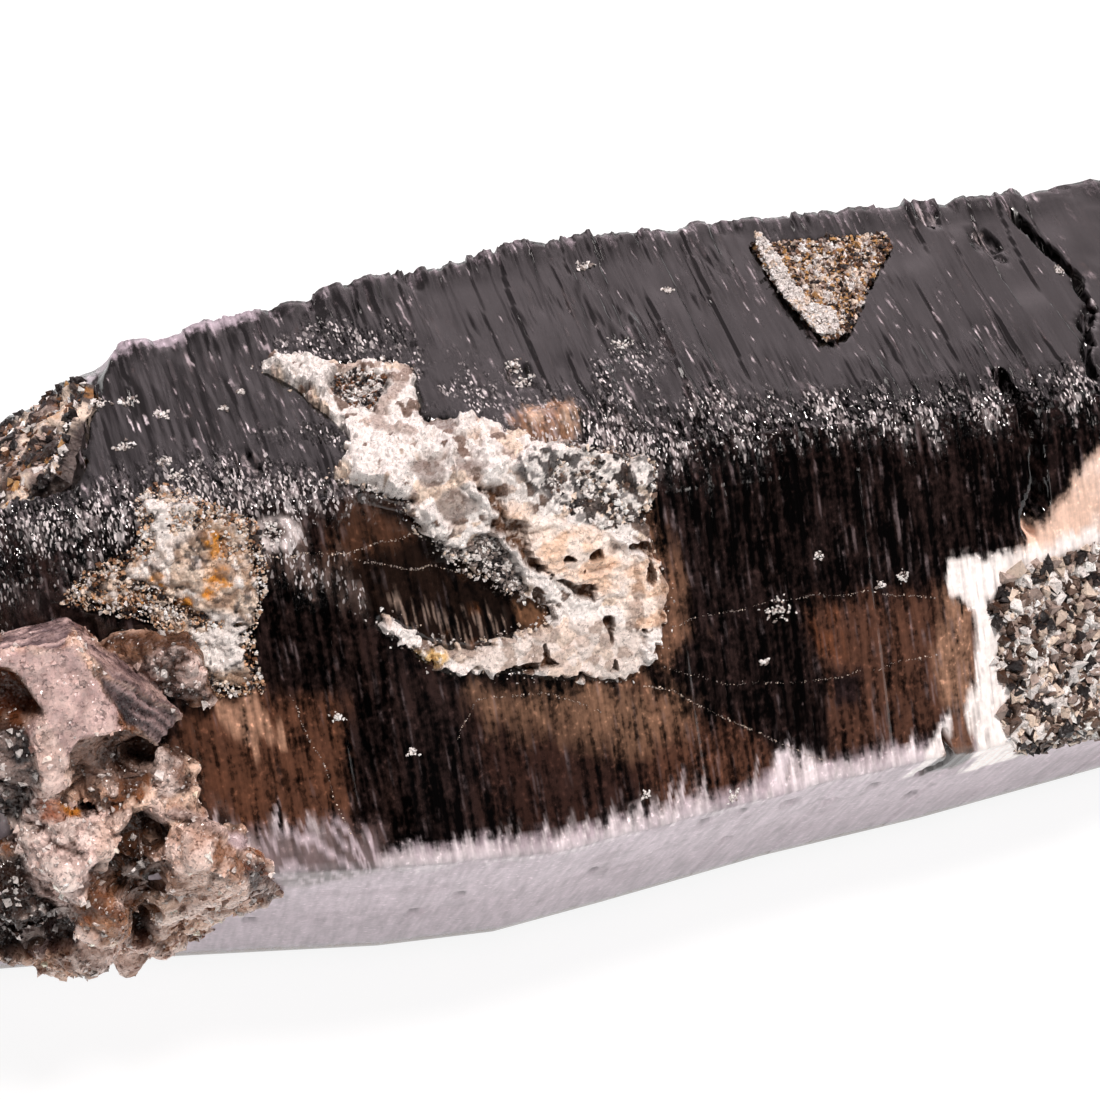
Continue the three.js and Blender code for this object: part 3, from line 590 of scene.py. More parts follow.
def crystal_relief(x, k, t, down):
    """How far the surface stands off the plain prism, its glitter, and its bright flakes, which are painted
    glints.
    """
    floor = np.zeros_like(x)
    margin = np.ones_like(x)
    for outline, depth, slope in HOLLOWS:
        within = inside(outline, x, down) + 0.25 * clouds(x / 0.9, down / 0.9, 21)
        floor = np.minimum(floor, -depth * ramp(within / slope))
        margin = np.minimum(margin, ramp(-within / HOLLOW_MARGIN))
    share = np.clip(1 - np.abs(down) / EDGE_WIDTH, 0, 1)
    top = k == TOP
    front = (k == FRONT_UPPER) | (k == FRONT_LOWER)
    behind = ~(top | front)
    ledge = LEDGE_HEIGHT * spread(np.floor(x / LEDGE_PITCH[k] + 0.37 * k), k, 5)
    broken_ledge = 0.2 * slats(x, down, 1.6, 9.0, 15) * (top | behind)
    broken_ledge = broken_ledge + 0.1 * clouds(x / 4.0, down / 6.0, 16)
    strength = np.interp(x, *zip(*STRIATION_ALONG))
    patchy = np.clip(0.5 + 1.2 * clouds(x / 3.0, down / 4.0, 31), 0.08, 1.4)
    fine = strength * patchy * np.where(top, 1.0, np.where(front, 0.1, 0.8))
    lines = (
        0.13 * slats(x, down, 0.85, 5.0, 11)
        + 0.12 * slats(x, down, 0.36, 3.4, 12)
        + 0.09 * slats(x, down, 0.2, 2.0, 13)
    )
    centre, half = (np.interp(x, GLITTER_X, row) for row in (GLITTER_CENTRE, GLITTER_HALF))
    wander = 0.9 * clouds(x / 2.2, down / 4.0, 41) + 0.9 * slats(x, down, 0.45, 6.0, 42)
    glitter = ramp(1.2 - np.abs(down - centre + wander) / half) * ~behind
    chips, chip_mark = druse(x, down / 1.9, 0.42, 43, 1.1)
    shards, shard_mark = druse(x, down / 1.7, 0.2, 47, 1.2)
    rough = 0.2 * chips + 0.09 * shards
    shallow = 0.25 + 0.75 * margin
    lift = floor - share * EDGE_DROP + shallow * (fine * lines + glitter * (rough - 0.05))
    seen_ledge = 0.1 * ledge + np.where(k == FRONT_LOWER, 0.3, 1.0) * broken_ledge
    lift = lift + margin * np.where(behind, 0.8 * ledge, seen_ledge)
    dense = ramp(0.45 + 1.3 * clouds(x / 1.6, down / 2.4, 44))
    flakes = glitter * dense * ((chip_mark > 0.66) * (shard_mark > 0.35) + 0.8 * (shard_mark > 0.86))
    window_top = np.interp(x, *zip(*WINDOW_TOP))
    across_window = (down - window_top) / np.maximum(np.interp(x, *zip(*WINDOW_FOOT)) - window_top, 0.3)
    sunk = ramp(across_window / 0.1) * np.clip(1 - across_window, 0, 1) * ramp((x + 14.5) / 6) * front
    lift = lift - WINDOW_DEPTH * sunk * (inside(WINDOW, x, down) > 0)
    lift = lift + ramp(inside(GLASS_BUMP, x, down) / 1.0) * 0.45
    for px, pd, radius in PITS:
        away = np.hypot(x - px, (down - pd) * 0.7) / radius
        held = ramp(1.6 * (1.15 - away) + 0.9 * clouds(x / 0.5, down / 0.7, 45))
        lift = lift - held * (0.55 * radius - 0.35 * rough)
        flakes = np.maximum(flakes, held * (shard_mark > 0.7) * np.where(top, 1, 0.3))
    for line, width, depth in CRACKS:
        gap = off_line(line, x + 0.3 * cloud(x / 2, down / 1.2, 46), down) / width
        lift = lift - depth * ramp(1.5 - gap + 0.5 * cloud(x / 0.8, down / 0.8, 48))
    back_rim = down + face_widths(x)[:, TOP]
    bumps, _ = druse(x, down, 1.0, 49, 0.9)
    crest = top * ramp(1.3 - back_rim / 1.3) + (k == BACK_UPPER) * ramp(1.3 - (1 - t) * 9)
    lift = lift + 0.42 * crest * bumps * ramp((x + 28) / 4)
    resting = (k == FOOT) | ((k == BACK_LOWER) & (t == 0))
    return np.where(resting, 0.0, lift), glitter * (0.35 + 0.65 * dense), flakes


def crystal_lift(x, down):
    """The crystal's relief at any place on the front or top."""
    k, t = face_at(x, down)
    return crystal_relief(x, k, t, down)[0]


def zone(outline, x, down, soft, seed, fray=0.8):
    """Share of a zone with a frayed soft rim."""
    noise = fray * clouds(x / 0.9, down / 2.2, seed) + 0.5 * fray * slats(x, down, 0.3, 2.5, seed + 3)
    return ramp((inside(outline, x, down) + noise) / soft + 0.5)


class Paint:
    """Colour, clearness and roughness of the crystal at every point, laid on in shares."""

    def __init__(self, x, k, down):
        self.x, self.down = x, down
        self.upper = k == FRONT_UPPER
        self.front = self.upper | (k == FRONT_LOWER)
        self.top = k == TOP
        self.streak = 0.5 + 0.5 * slats(x, down, 0.22, 3.0, 61)
        self.mottle = 0.5 + 0.5 * clouds(x / 0.7, down / 0.9, 62)
        self.tint = np.tile(linear(*BODY_COLOUR), (len(x), 1))
        self.clear = np.ones(len(x))
        self.rough = np.full(len(x), BODY_ROUGHNESS)

    def zone(self, outline, soft, seed, fray=0.8):
        return zone(outline, self.x, self.down, soft, seed, fray)

    def lay(self, share, colour, cloudy, roughness=None):
        """Lays a screen colour on, with how cloudy and rough the surface is there."""
        self.tint += share[:, None] * (linear(*colour) - self.tint)
        self.clear += share * ((1 - cloudy) - self.clear)
        if roughness is not None:
            self.rough += share * (roughness - self.rough)


def paint_glass(paint):
    """The clear part of the front: painted brown glows, the window, the halo and the glass bump."""
    x, down, streak, mottle = paint.x, paint.down, paint.streak, paint.mottle
    deep = 0.5 + 0.5 * clouds(x / 2.6, down / 4.5, 65)

    # A dim painted brown glow under the front face, hardly any to the right of the centre crust.
    paint.lay(paint.upper * (0.45 + 0.45 * deep), (37, 27, 26), 0.62)
    glowing = np.maximum(ramp((-x - 7) / 3), ramp((down - 10) / 3))
    paint.lay(paint.upper * glowing * ramp(2.2 * deep - 1.0) * (0.2 + 0.6 * streak), (44, 29, 24), 0.75)
    for outline, soft, colour, low, high, cloudy, seed in GLOWS:
        held = low + (high - low) * (0.25 * streak + 0.75 * mottle)
        paint.lay(paint.zone(outline, soft, seed) * np.maximum(held, 0), colour, cloudy)
    for i, outline in enumerate(BLACK_SPOTS):
        paint.lay(paint.zone(outline, 0.6, 84 + i, 0.4) * 0.9, (24, 18, 20), 0.5)
    window = paint.zone(WINDOW, 0.8, 90, 0.4)
    paint.lay(window, (24, 15, 11), 0.7, 0.1)
    # Silver teeth: thin bright slivers in the window, painted glints.
    teeth = paint.zone(SILVER_TEETH, 0.5, 94, 0.4) * needles(x, down, 0.1, 1.1, 0.3, 91)
    paint.lay(teeth * 0.7, (150, 130, 118), 0.95)
    amber = ramp(3.5 * clouds(x / 1.3, down / 0.5, 92) - 1.3) * window * ramp((x + 11.5) / 2)
    paint.lay(amber * ramp((down - 3) / 3) * 0.6, (112, 68, 38), 0.9)
    sheen = paint.zone(WINDOW_UPPER, 0.8, 93, 0.5)
    paint.lay(sheen * (0.2 + 0.5 * mottle), (82, 55, 41), 0.8)
    paint.lay(paint.zone(BROWN_BALL, 0.3, 95, 0.2) * 0.9, (104, 74, 54), 0.8, 0.1)
    # The hollow beside the brown ball, painted darker: painted shade.
    paint.lay(paint.zone(BALL_HOLLOW, 0.3, 96, 0.2) * 0.9, (66, 46, 36), 0.8)
    halo = paint.zone(LEFT_HALO, 1.4, 97, 1.2) * (0.3 + 0.7 * ramp(2 * mottle - 0.5))
    paint.lay(halo * 0.8, (104, 88, 82), 0.9)
    bump = paint.zone(GLASS_BUMP, 0.8, 81, 0.3)
    paint.lay(bump * 0.95, (150, 112, 86), 0.92, 0.2)
    paint.lay(bump * ramp(2.6 * clouds(x / 0.8, down / 0.8, 186) + 0.3) * 0.85, (208, 176, 152), 0.95)
    paint.lay(bump * ramp(3.0 * clouds(x / 0.5, down / 0.7, 187) - 0.9) * 0.8, (84, 54, 38), 0.8)
    return halo


def paint_frost(paint):
    """The frosted lower front, its bright upper edge and the fibres at its left."""
    x, down, streak = paint.x, paint.down, paint.streak
    edge = face_widths(x)[:, FRONT_UPPER]
    frost_line = np.minimum(np.interp(x, *zip(*FROST_TOP)), edge) - 0.5
    wisps = 1.7 * slats(x + 0.25 * down, down, 0.22, 4.0, 63) + 1.8 * clouds(x / 1.5, down / 2, 64)
    near_edge = ramp((down - edge + 1.3 + 0.6 * clouds(x / 0.8, down, 181)) / 0.9) * 0.9
    frost = np.maximum(ramp((down - frost_line + wisps) / 1.6), near_edge) * paint.front
    bright = ramp(1.2 - np.abs(down - frost_line - 0.6 + 0.6 * wisps) / 1.1) * paint.front
    paint.lay(frost * 0.97, (194, 179, 187), 1.0, 0.42)
    paint.lay(frost * ramp(2.6 * clouds(x / 2.6, down / 2.0, 66) - 0.5) * 0.5, (152, 134, 143), 1.0)
    grazed = ramp(1.5 * clouds(x / 1.6, down / 1.6, 168) + 0.4)
    grazed = needles(x + 0.8 * down, down, 0.22, 1.6, 0.16, 167) * grazed
    paint.lay(frost * grazed * 0.4, (128, 112, 120), 1.0)
    paint.lay(frost * ramp((down - frost_line - 5) / 10) * 0.5, (150, 132, 141), 1.0)
    oblique = clouds((x + 0.55 * down) / 0.8, (down - 0.55 * x) / 3.5, 176)
    paint.lay(frost * ramp(3.0 * oblique - 0.9) * 0.45, (122, 106, 114), 1.0)
    paint.lay(bright * (0.3 + 0.7 * streak) * 0.8, (240, 230, 232), 1.0)
    swirl = np.clip((x + 19) / 5, 0, 1) * 1.3
    across = (down - 16) * np.cos(swirl) - (x + 16) * np.sin(swirl) + 0.5 * clouds(x / 1.2, down / 1.2, 171)
    fibres = ramp(2.0 * cloud(across / 0.14, x / 3, 172) + 1.2 * cloud(across / 0.4, x / 3, 173) + 0.3)
    fibre_zone = paint.zone(FIBRES, 1.2, 174, 0.5)
    paint.lay(fibre_zone * 0.9, (92, 74, 72), 0.95, 0.35)
    paint.lay(fibre_zone * fibres * 0.9, (190, 174, 180), 1.0)


def paint_right(paint):
    """The milky and pink zones and the dark triangle at the right of the front."""
    x, down = paint.x, paint.down
    wedge = paint.zone(PINK_WEDGE, 0.9, 82, 0.35)
    paint.lay(wedge * 0.97, (232, 198, 178), 1.0, 0.38)
    paint.lay(wedge * ramp(2.4 * clouds(x / 2.2, down / 1.6, 183) - 0.2) * 0.6, (250, 232, 222), 1.0)
    triangle = paint.zone(DARK_TRIANGLE, 0.4, 80, 0.2)
    paint.lay(triangle, (104, 72, 56), 0.8, 0.25)
    paint.lay(triangle * ramp((down - 16.8) / 1.6), (38, 26, 24), 0.75)
    paint.lay(paint.zone(WHITE_SPIKE, 0.3, 180, 0.2), (250, 242, 240), 1.0, 0.4)
    paint.lay(paint.zone(MILKY_RIGHT, 0.4, 79, 0.4), (255, 248, 244), 1.0, 0.42)


def paint_marks(paint):
    """The ring, the pits, which are painted darker as shade, and the fine bright streaks of the front,
    which are painted glints.
    """
    x, down, mottle = paint.x, paint.down, paint.mottle
    ring = ramp(1.5 - np.abs(np.hypot((x + 16.0) / 1.0, (down - 1.5) / 0.75) - 0.85) / 0.3)
    paint.lay(ring * (0.5 + 0.5 * mottle) * 0.9, (214, 204, 202), 1.0, 0.3)
    # Pits painted darker on the front: painted shade in the hollows.
    for px, pd, radius in PITS:
        away = np.hypot(x - px, (down - pd) * 0.6) / radius + 0.9 * clouds(x / 0.45, down / 0.9, 184)
        paint.lay(paint.front * ramp(1.3 - 1.4 * away) * 0.9, (58, 48, 54), 0.9)
    # Painted glints, more of them to the right and where the mottle is high.
    lit = np.minimum(ramp((x - 9) / 6) + ramp(2.0 * mottle - 0.6), 1)
    for pitch, length, share, seed in GLINT_STREAKS:
        glint_streaks = needles(x, down, pitch, length, share, seed) * paint.upper * lit
        paint.lay(glint_streaks * 0.36, (118, 106, 108), 0.8)


def paint_top(paint):
    """The painted glints, the painted sheen and shade along the growth lines, and the pale rims of the top
    face.
    """
    x, down, mottle = paint.x, paint.down, paint.mottle
    top_patch = ramp(0.2 + 1.8 * clouds(x / 2.5, down / 2.0, 68)) * paint.top * ramp((down + 9) / 5 + 0.25)
    # Painted glints: short bright dashes along the growth lines, more at the left end, and a few over the
    # whole top.
    glint_dashes = needles(x, down, 0.1, 0.55, 0.06, 69) * top_patch * ramp((9 - x) / 4)
    left_end = ramp((-14 - x) / 3)
    glints = glint_dashes * (1 + left_end) + 0.8 * needles(x, down, 0.1, 0.4, 0.012, 70) * paint.top
    paint.lay(np.clip(glints, 0, 1) * 0.8, (206, 196, 200), 0.95)
    # Light and dark streaks along the growth lines: painted sheen and painted shade of the striations.
    striation_sheen = ramp(0.5 + 1.6 * clouds(x / 3.5, down / 3.5, 177)) * paint.top
    paint.lay(needles(x, down, 0.1, 2.2, 0.16, 178) * striation_sheen * 0.5, (112, 103, 107), 0.85, 0.3)
    paint.lay(needles(x, down, 0.1, 0.7, 0.08, 179) * striation_sheen * 0.75, (150, 140, 144), 0.9, 0.3)
    paint.lay(needles(x, down, 0.2, 1.6, 0.14, 182) * striation_sheen * 0.7, (34, 28, 30), 0.5, 0.6)
    back_rim = (down + face_widths(x)[:, TOP]) * paint.top + 9 * ~paint.top
    fringe = ramp(1.3 - back_rim / (0.5 + 0.6 * mottle)) * ramp((x + 30) / 2)
    paint.lay(fringe * (0.3 + 0.5 * ramp((-12 - x) / 3)), (176, 164, 174), 0.9, 0.3)
    glassy_rim = ramp(1.4 - np.hypot((x + 30.5) / 3.2, (down + 2.6) / 1.6)) * paint.top
    paint.lay(glassy_rim * 0.8, (158, 138, 134), 0.85, 0.15)
    return top_patch


def crystal_paint(x, k, down, glitter, flakes):
    """Tint, and the marks: clear share, roughness, glitter."""
    paint = Paint(x, k, down)
    halo = paint_glass(paint)
    paint_frost(paint)
    paint_right(paint)
    paint_marks(paint)
    top_patch = paint_top(paint)
    paint.lay(glitter * 0.7, (30, 25, 26), 0.55, 0.12)
    # Bright flakes in the glitter and the pits: painted glints.
    paint.lay(np.clip(flakes, 0, 1) * 0.35, (200, 188, 188), 0.9, 0.2)
    paint.lay((k == BACK_LOWER) * 0.3 * (0.5 + paint.mottle), (120, 108, 112), 0.5, 0.3)
    sparkle = np.maximum(glitter, 0.35 * top_patch * ramp((x + 14) / 4) * ramp((10 - x) / 5))
    for i, outline in enumerate(TOP_FLECKS):
        sparkle = np.maximum(sparkle, 0.8 * paint.zone(outline, 0.8, 185 + i) * ramp(1.4 * paint.mottle))
    sparkle = np.maximum(sparkle, halo * 0.75)
    return paint.tint, np.stack([paint.clear, paint.rough, sparkle], -1)


def build_crystal(material):
    """The whole crystal as one closed mesh, painted point by point."""
    k, t = row_list()
    around = len(k)
    columns = column_list(k, t)
    count = len(columns)
    x = columns.ravel()
    kk, tt = np.tile(k, count), np.tile(t, count)
    down = down_front(x, kk, tt)
    lift, glitter, flakes = crystal_relief(x, kk, tt, down)
    body_share = 1 - ramp((x - PLAIN_FROM) / PLAIN_OVER)
    points = prism_points(x, kk, tt, lift * np.maximum(body_share, PLAIN_SHARE))
    points = trim_break(points)
    tint, marks = crystal_paint(x, kk, down, glitter, flakes)

    rim = points[-around:]
    rim[:, 0] = point_x(rim[:, 1:])
    rings = point_rings(rim)
    base = points[:around]
    middle = base.mean(0)
    points = np.concatenate([points, *rings, APEX[None], *base_rings(base, middle), middle[None]])
    extra = len(points) - len(x)
    tint = np.concatenate([tint, np.tile(linear(*POINT_COLOUR), (extra, 1))])
    marks = np.concatenate([marks, np.tile(POINT_MARKS, (extra, 1))])
    base_end = points[-BASE_RINGS * around - 1:]
    milky = ramp(1.8 * clouds(base_end[:, 1] / 4, base_end[:, 2] / 4, 93) + 0.3)
    tint[-len(base_end):] = mixed(linear(*BASE_DARK), linear(*BASE_MILKY), milky)
    marks[-len(base_end):] = np.stack([0.8 - 0.6 * milky, 0.15 + 0.2 * milky, 0.32 * milky], -1)
    triangles = crystal_faces(around, count + len(rings))
    sparkle = marks[:, 2][triangles].max(1) > 0.3
    return mesh_object("smoky_quartz_crystal", points, triangles, material, sparkle, tint, marks)


def point_rings(rim):
    """Rings drawn in from the last column towards the apex, on the point's faces."""
    rings = []
    for share in np.linspace(0, 1, POINT_COLUMNS + 1)[1:-1]:
        yz = rim[:, 1:] + share * (APEX[1:] - rim[:, 1:])
        rings.append(np.concatenate([point_x(yz)[:, None], yz], 1))
    return rings


def base_rings(base, middle):
    """Rings drawn in from the base's rim towards its middle, on a rough break."""
    rings = []
    for share in np.linspace(0.96, 0.08, BASE_RINGS):
        ring = middle + share * (base - middle)
        u, v = ring[:, 1], ring[:, 2]
        broken = 1.5 * np.abs(clouds(u / 6.0, v / 6.0, 91)) + 0.45 * clouds(u / 2.2, v / 2.2, 92)
        ring[:, 0] = BASE_X - 0.2 + broken * ramp((1 - share) / 0.1)
        rings.append(ring)
    return rings


def crystal_faces(around, rows):
    """Triangles over the rows of points, the apex, the base's rings and its middle."""
    j = np.arange(around)
    after = (j + 1) % around

    def band(first, second):
        return np.stack([first + j, first + after, second + after, second + j], -1)

    apex = rows * around
    inner = [apex + 1 + i * around for i in range(BASE_RINGS)]
    centre = inner[-1] + around
    quads = [band(i * around, (i + 1) * around) for i in range(rows - 1)]
    quads.append(band(inner[0], 0))
    quads += [band(second, first) for first, second in zip(inner, inner[1:])]
    quads = np.concatenate(quads)
    last = (rows - 1) * around
    fans = np.concatenate([
        np.stack([last + j, last + after, np.full(around, apex)], -1),
        np.stack([inner[-1] + after, inner[-1] + j, np.full(around, centre)], -1),
    ])
    return np.concatenate([quads[:, [0, 1, 2]], quads[:, [0, 2, 3]], fans])


def trim_break(points):
    """Lowers what stands over the broken corner of the base onto the break."""
    over = (points - BREAK_EDGE) @ BREAK_SLOPE
    share = ramp((points[:, 1] - BREAK_WALL_Y) / 0.35 + 0.5)
    rough = 0.25 * clouds(points[:, 0], points[:, 1], 95, points[:, 2])
    return points - (np.maximum(over - rough, 0) * share)[:, None] * BREAK_SLOPE


# ---- crusts and rock ----

SNOW = linear(246, 240, 236)
CREAM = linear(236, 216, 198)
TAN = linear(216, 172, 136)
BROWN = linear(128, 88, 60)
GREY = linear(150, 138, 132)
COAL = linear(34, 27, 27)
RUST = linear(222, 146, 36)
UMBER = linear(70, 46, 32)
AMBER = linear(240, 196, 122)
GOLD = linear(196, 150, 96)
ASH = linear(176, 156, 146)
DUSK = linear(112, 90, 78)

SALT_ZONE = [
    (-4.8, -0.4), (-2.6, -0.6), (-0.9, 0.1), (2.0, 0.8), (1.8, 2.4), (0.8, 3.8), (-1.2, 3.8), (-2.9, 2.7),
    (-4.8, 0.9),
]
TAN_ZONE = [
    (-6.2, 1.3), (-5.0, 2.1), (-3.5, 2.9), (-1.5, 3.5), (-0.3, 4.8), (-0.6, 6.9), (-1.8, 6.9), (-2.7, 6.6),
    (-4.2, 5.4), (-5.7, 3.5),
]
TAN_SIDE = [(-0.4, 5.0), (1.9, 5.4), (2.0, 7.8), (1.2, 9.0), (-0.8, 8.2), (-1.2, 7.0)]
GREY_FRINGE = [
    (-9.3, 2.9), (-7.8, 3.3), (-6.4, 2.9), (-5.4, 4.7), (-5.0, 6.1), (-6.3, 5.8), (-7.2, 4.6), (-8.7, 3.7),
]
TOP_WHITE = [
    (12.1, -14.0), (12.4, -12), (12.4, -9.8), (12.8, -8.2), (13.8, -7.7), (13.4, -5.9), (12.6, -6),
    (11.9, -9.1), (11.7, -12.1),
]
TAIL_DARK = [
    (-11.4, -8.0), (-9.9, -8.0), (-8.8, -7.2), (-9.6, -5.8), (-10.2, -5.0), (-11.2, -5.5), (-11.8, -6.9),
]
WHITE_PATCHES = [
    [(-14.1, -9.0), (-12.8, -9.1), (-11.3, -8.3), (-11.4, -7.4), (-12.0, -6.1), (-12.8, -7.1)],
    [(-12.4, -1.7), (-11.2, -3.1), (-9.5, -3.4), (-7.9, -2.8), (-7.3, -1.0), (-7.8, 0.1), (-7.9, -1.0),
     (-9.1, -1.2), (-9.8, -0.4), (-9.6, 1.2), (-10.4, 1.4), (-11.0, 0.6), (-11.4, -0.3)],
    [(-6.6, -1.6), (-5.5, -1.7), (-5.3, -0.5), (-6.3, -0.2), (-6.7, -0.9)],
    [(-6.5, 0.1), (-5.5, 0.0), (-5.6, 0.8), (-6.4, 0.8)],
    [(-9.6, 1.3), (-8.8, 1.2), (-8.2, 2.3), (-8.6, 3.0), (-9.2, 2.8)],
    [(-7.3, -2.0), (-6.5, -3.8), (-5.8, -3.4), (-5.9, -2.0), (-6.6, -1.6)],
    [(-5.0, 0.4), (-4.0, -0.6), (-3.0, -0.1), (-3.5, 0.8), (-4.2, 1.4)],
    [(0.4, 0.9), (1.3, 0.5), (1.9, 1.4), (1.3, 2.2), (0.4, 1.8)],
    [(-2.2, 3.4), (-0.9, 4.0), (0.7, 4.8), (0.4, 5.6), (-0.5, 5.5), (-1.6, 4.8)],
    [(-0.2, 8.7), (0.7, 8.3), (1.2, 9.2), (0.9, 10.0), (-0.1, 10.1)],
    [(-9.7, 8.6), (-8.2, 8.9), (-8.0, 9.9), (-9.6, 9.4)],
    [(-12.3, 5.7), (-11.5, 6.6), (-10.9, 7.8), (-11.4, 8.1), (-12.0, 6.8)],
]
GLASS_PATCHES = [
    [(-9.6, -0.6), (-8.8, -1.3), (-8.0, -0.9), (-8.3, 0.3), (-9.2, 0.4)],
    [(-9.1, 1.3), (-8.2, 0.7), (-7.2, 0.7), (-7.0, 1.7), (-7.6, 2.1), (-8.5, 2.1)],
    [(-8.3, -4.3), (-7.2, -4.1), (-6.7, -3.2), (-7.0, -2.3), (-8.1, -3.0)],
    [(-7.6, -0.9), (-6.1, -0.4), (-6.5, 0.1), (-7.6, 0.0)],
]
RIM_MILKY = [
    (-9.4, 8.0), (-5.3, 8.0), (-2.9, 7.7), (-1.3, 8.1), (-0.2, 8.8), (-0.2, 10.2), (-1.0, 11.3),
    (-3.7, 10.4), (-5.5, 9.6), (-8.4, 9.2),
]
WHITE_RIB = [(-7.1, 0.8), (-6.4, 1.7), (-5.9, 3.0), (-5.1, 4.9), (-4.4, 6.0)]
TAIL_VEIN = [(-7.8, -8.0), (-8.4, -6.7), (-9.4, -5.4), (-10.2, -4.4), (-10.0, -3.2), (-8.9, -2.7)]
LEFT_GROOVE = [(-22.2, 3.5), (-21.0, 4.4), (-19.9, 5.3)]
# x, distance down the front, radius.
RUST_SPOTS = [
    (-18.6, 1.8, 0.5), (-18.9, 3.2, 0.45), (-19.3, 3.8, 0.4), (-24.6, 3.7, 0.5), (-24.0, 4.5, 0.35),
    (-21.4, 3.2, 0.3), (-22.4, 4.0, 0.3), (-20.4, 4.4, 0.3),
]
CREVICE = [(-6.2, 1.2), (-5.9, 2.4), (-5.3, 3.5), (-4.6, 4.9), (-3.5, 5.9), (-2.2, 6.9)]
ORANGE_SPOT = [(-10.6, 8.0), (-9.6, 8.2), (-10.2, 8.4)]

CRUST_THICKNESS = 0.5


def mixed(base, colour, share):
    """A colour laid over another one by a share."""
    return base + share[..., None] * (colour - base)


def layered(tint, *layers):
    """Colours laid over a tint one after another, each by its share."""
    for colour, share in layers:
        tint = mixed(tint, colour, np.clip(share, 0, 1))
    return tint


def share_of(outlines, x, down, soft):
    """The largest share of any of several zones."""
    total = np.zeros(np.shape(x))
    for outline in outlines:
        total = np.maximum(total, ramp(inside(outline, x, down) / soft + 0.5))
    return total


def centre_relief(x, down, depth):
    """Lift and colour of the centre crust over the plain faces."""
    rim = ramp(depth / 0.3)
    wave = clouds(x / 0.7, down / 0.7, 114)
    bend_x = x + 0.35 * wave
    bend_d = down + 0.35 * clouds(x / 0.7, down / 0.7, 117)
    salt, tan, side, fringe, tail, milky = (
        share_of([outline], bend_x, bend_d, 0.3)
        for outline in (SALT_ZONE, TAN_ZONE, TAN_SIDE, GREY_FRINGE, TAIL_DARK, RIM_MILKY)
    )
    glass = share_of(GLASS_PATCHES, bend_x, bend_d, 0.2)
    rib = ramp(1.6 - off_line(WHITE_RIB, bend_x, bend_d) / 0.34)
    vein = ramp(1.6 - off_line(TAIL_VEIN, bend_x, bend_d) / 0.3)
    white = np.maximum(share_of(WHITE_PATCHES, bend_x, bend_d, 0.25), rib)
    big, big_mark = druse(bend_x, bend_d, 1.0, 102, 1.1)
    small, small_mark = druse(x, down, 0.45, 103, 1.5)
    tiny, tiny_mark = druse(x, down, 0.21, 104, 1.6)
    shell = np.abs(clouds(bend_x / 1.7, bend_d / 0.8, 106))
    body = 0.32 * big + 0.17 * small + 0.09 * tiny
    body = body + white * (0.28 + 0.2 * big + 0.05 * tiny)
    body = body + glass * (0.3 * big + 0.08 * small - body)
    body = body + np.maximum(tan, 0.7 * side) * (0.42 - 0.55 * shell + 0.06 * tiny + 0.05 * small - body)
    body = body + milky * 0.6 * (0.15 + 0.3 * big + 0.07 * small - body)
    body = body + np.maximum(fringe, tail) * (0.24 * small + 0.15 * tiny - 0.35 - body)
    crack = off_line(CREVICE, bend_x + 0.3 * wave, bend_d)
    crack = crack + 0.1 * spread(np.floor(x / 0.3), np.floor(down / 0.3), 118)
    gape = 0.14 + 0.3 * ramp((5.0 - down) / 2.5) + 0.2 * cloud(x / 0.8, down / 0.8, 108)
    crevice = ramp(1.5 - crack / gape)
    lift = -0.45 + rim * (0.55 + 0.3 * clouds(x / 2.2, down / 2.2, 107) + body) - 0.6 * crevice * rim

    # Low places between the crystals, painted darker: painted shade.
    shaded_low_places = ramp(-1.8 * small - 0.1)
    warm = ramp(2.2 * clouds(bend_x / 1.0, bend_d / 0.7, 110) + 0.7)
    dark = np.maximum(fringe, tail)
    rust = ramp(1.4 - off_line(ORANGE_SPOT, x, down) / 0.3) * (0.35 + 0.65 * (tiny_mark > 0.3))
    tint = layered(
        linear(206, 188, 178),
        (CREAM, 0.9 * (small_mark > 0.45) + 0.3 * (tiny_mark > 0.7)),
        (DUSK, 0.85 * (small_mark < 0.17) + 0.5 * (tiny_mark < 0.14) + 0.7 * shaded_low_places),
        (SNOW, 0.95 * (big_mark > 0.35) * (small_mark > 0.25)),
        (linear(222, 204, 192), milky * 0.55),
        (GREY, glass * 0.85),
        (DUSK, glass * 0.6 * (tiny_mark < 0.35)),
        (SNOW, white * (0.95 - 0.75 * shaded_low_places) * (tiny_mark > 0.06)),
        (COAL, salt * (0.9 * (small_mark < 0.42) * (tiny_mark > 0.25) + 0.7 * (tiny_mark < 0.2))),
        (mixed(linear(240, 206, 180), linear(252, 236, 224), warm), np.maximum(tan, side) * 0.95),
        (BROWN, 0.55 * side * ramp(2.2 * slats(x, down, 0.3, 2.0, 111) - 0.2)),
        (BROWN, tan * ramp(4.0 * shell - 1.9) * 0.55),
        (SNOW, tan * ramp(1 - inside(TAN_ZONE, bend_x, bend_d) / 0.5) * 0.5),
        (GREY, dark * 0.4),
        (COAL, dark * (0.85 * (tiny_mark < 0.4) + 0.5 * shaded_low_places)),
        (ASH, vein * 0.8),
        # The crevice painted brown: painted shade in the crack.
        (linear(104, 74, 54), crevice * (0.6 + 0.4 * (tiny_mark < 0.6))),
        (AMBER, rust * 0.9),
    )
    return lift, tint


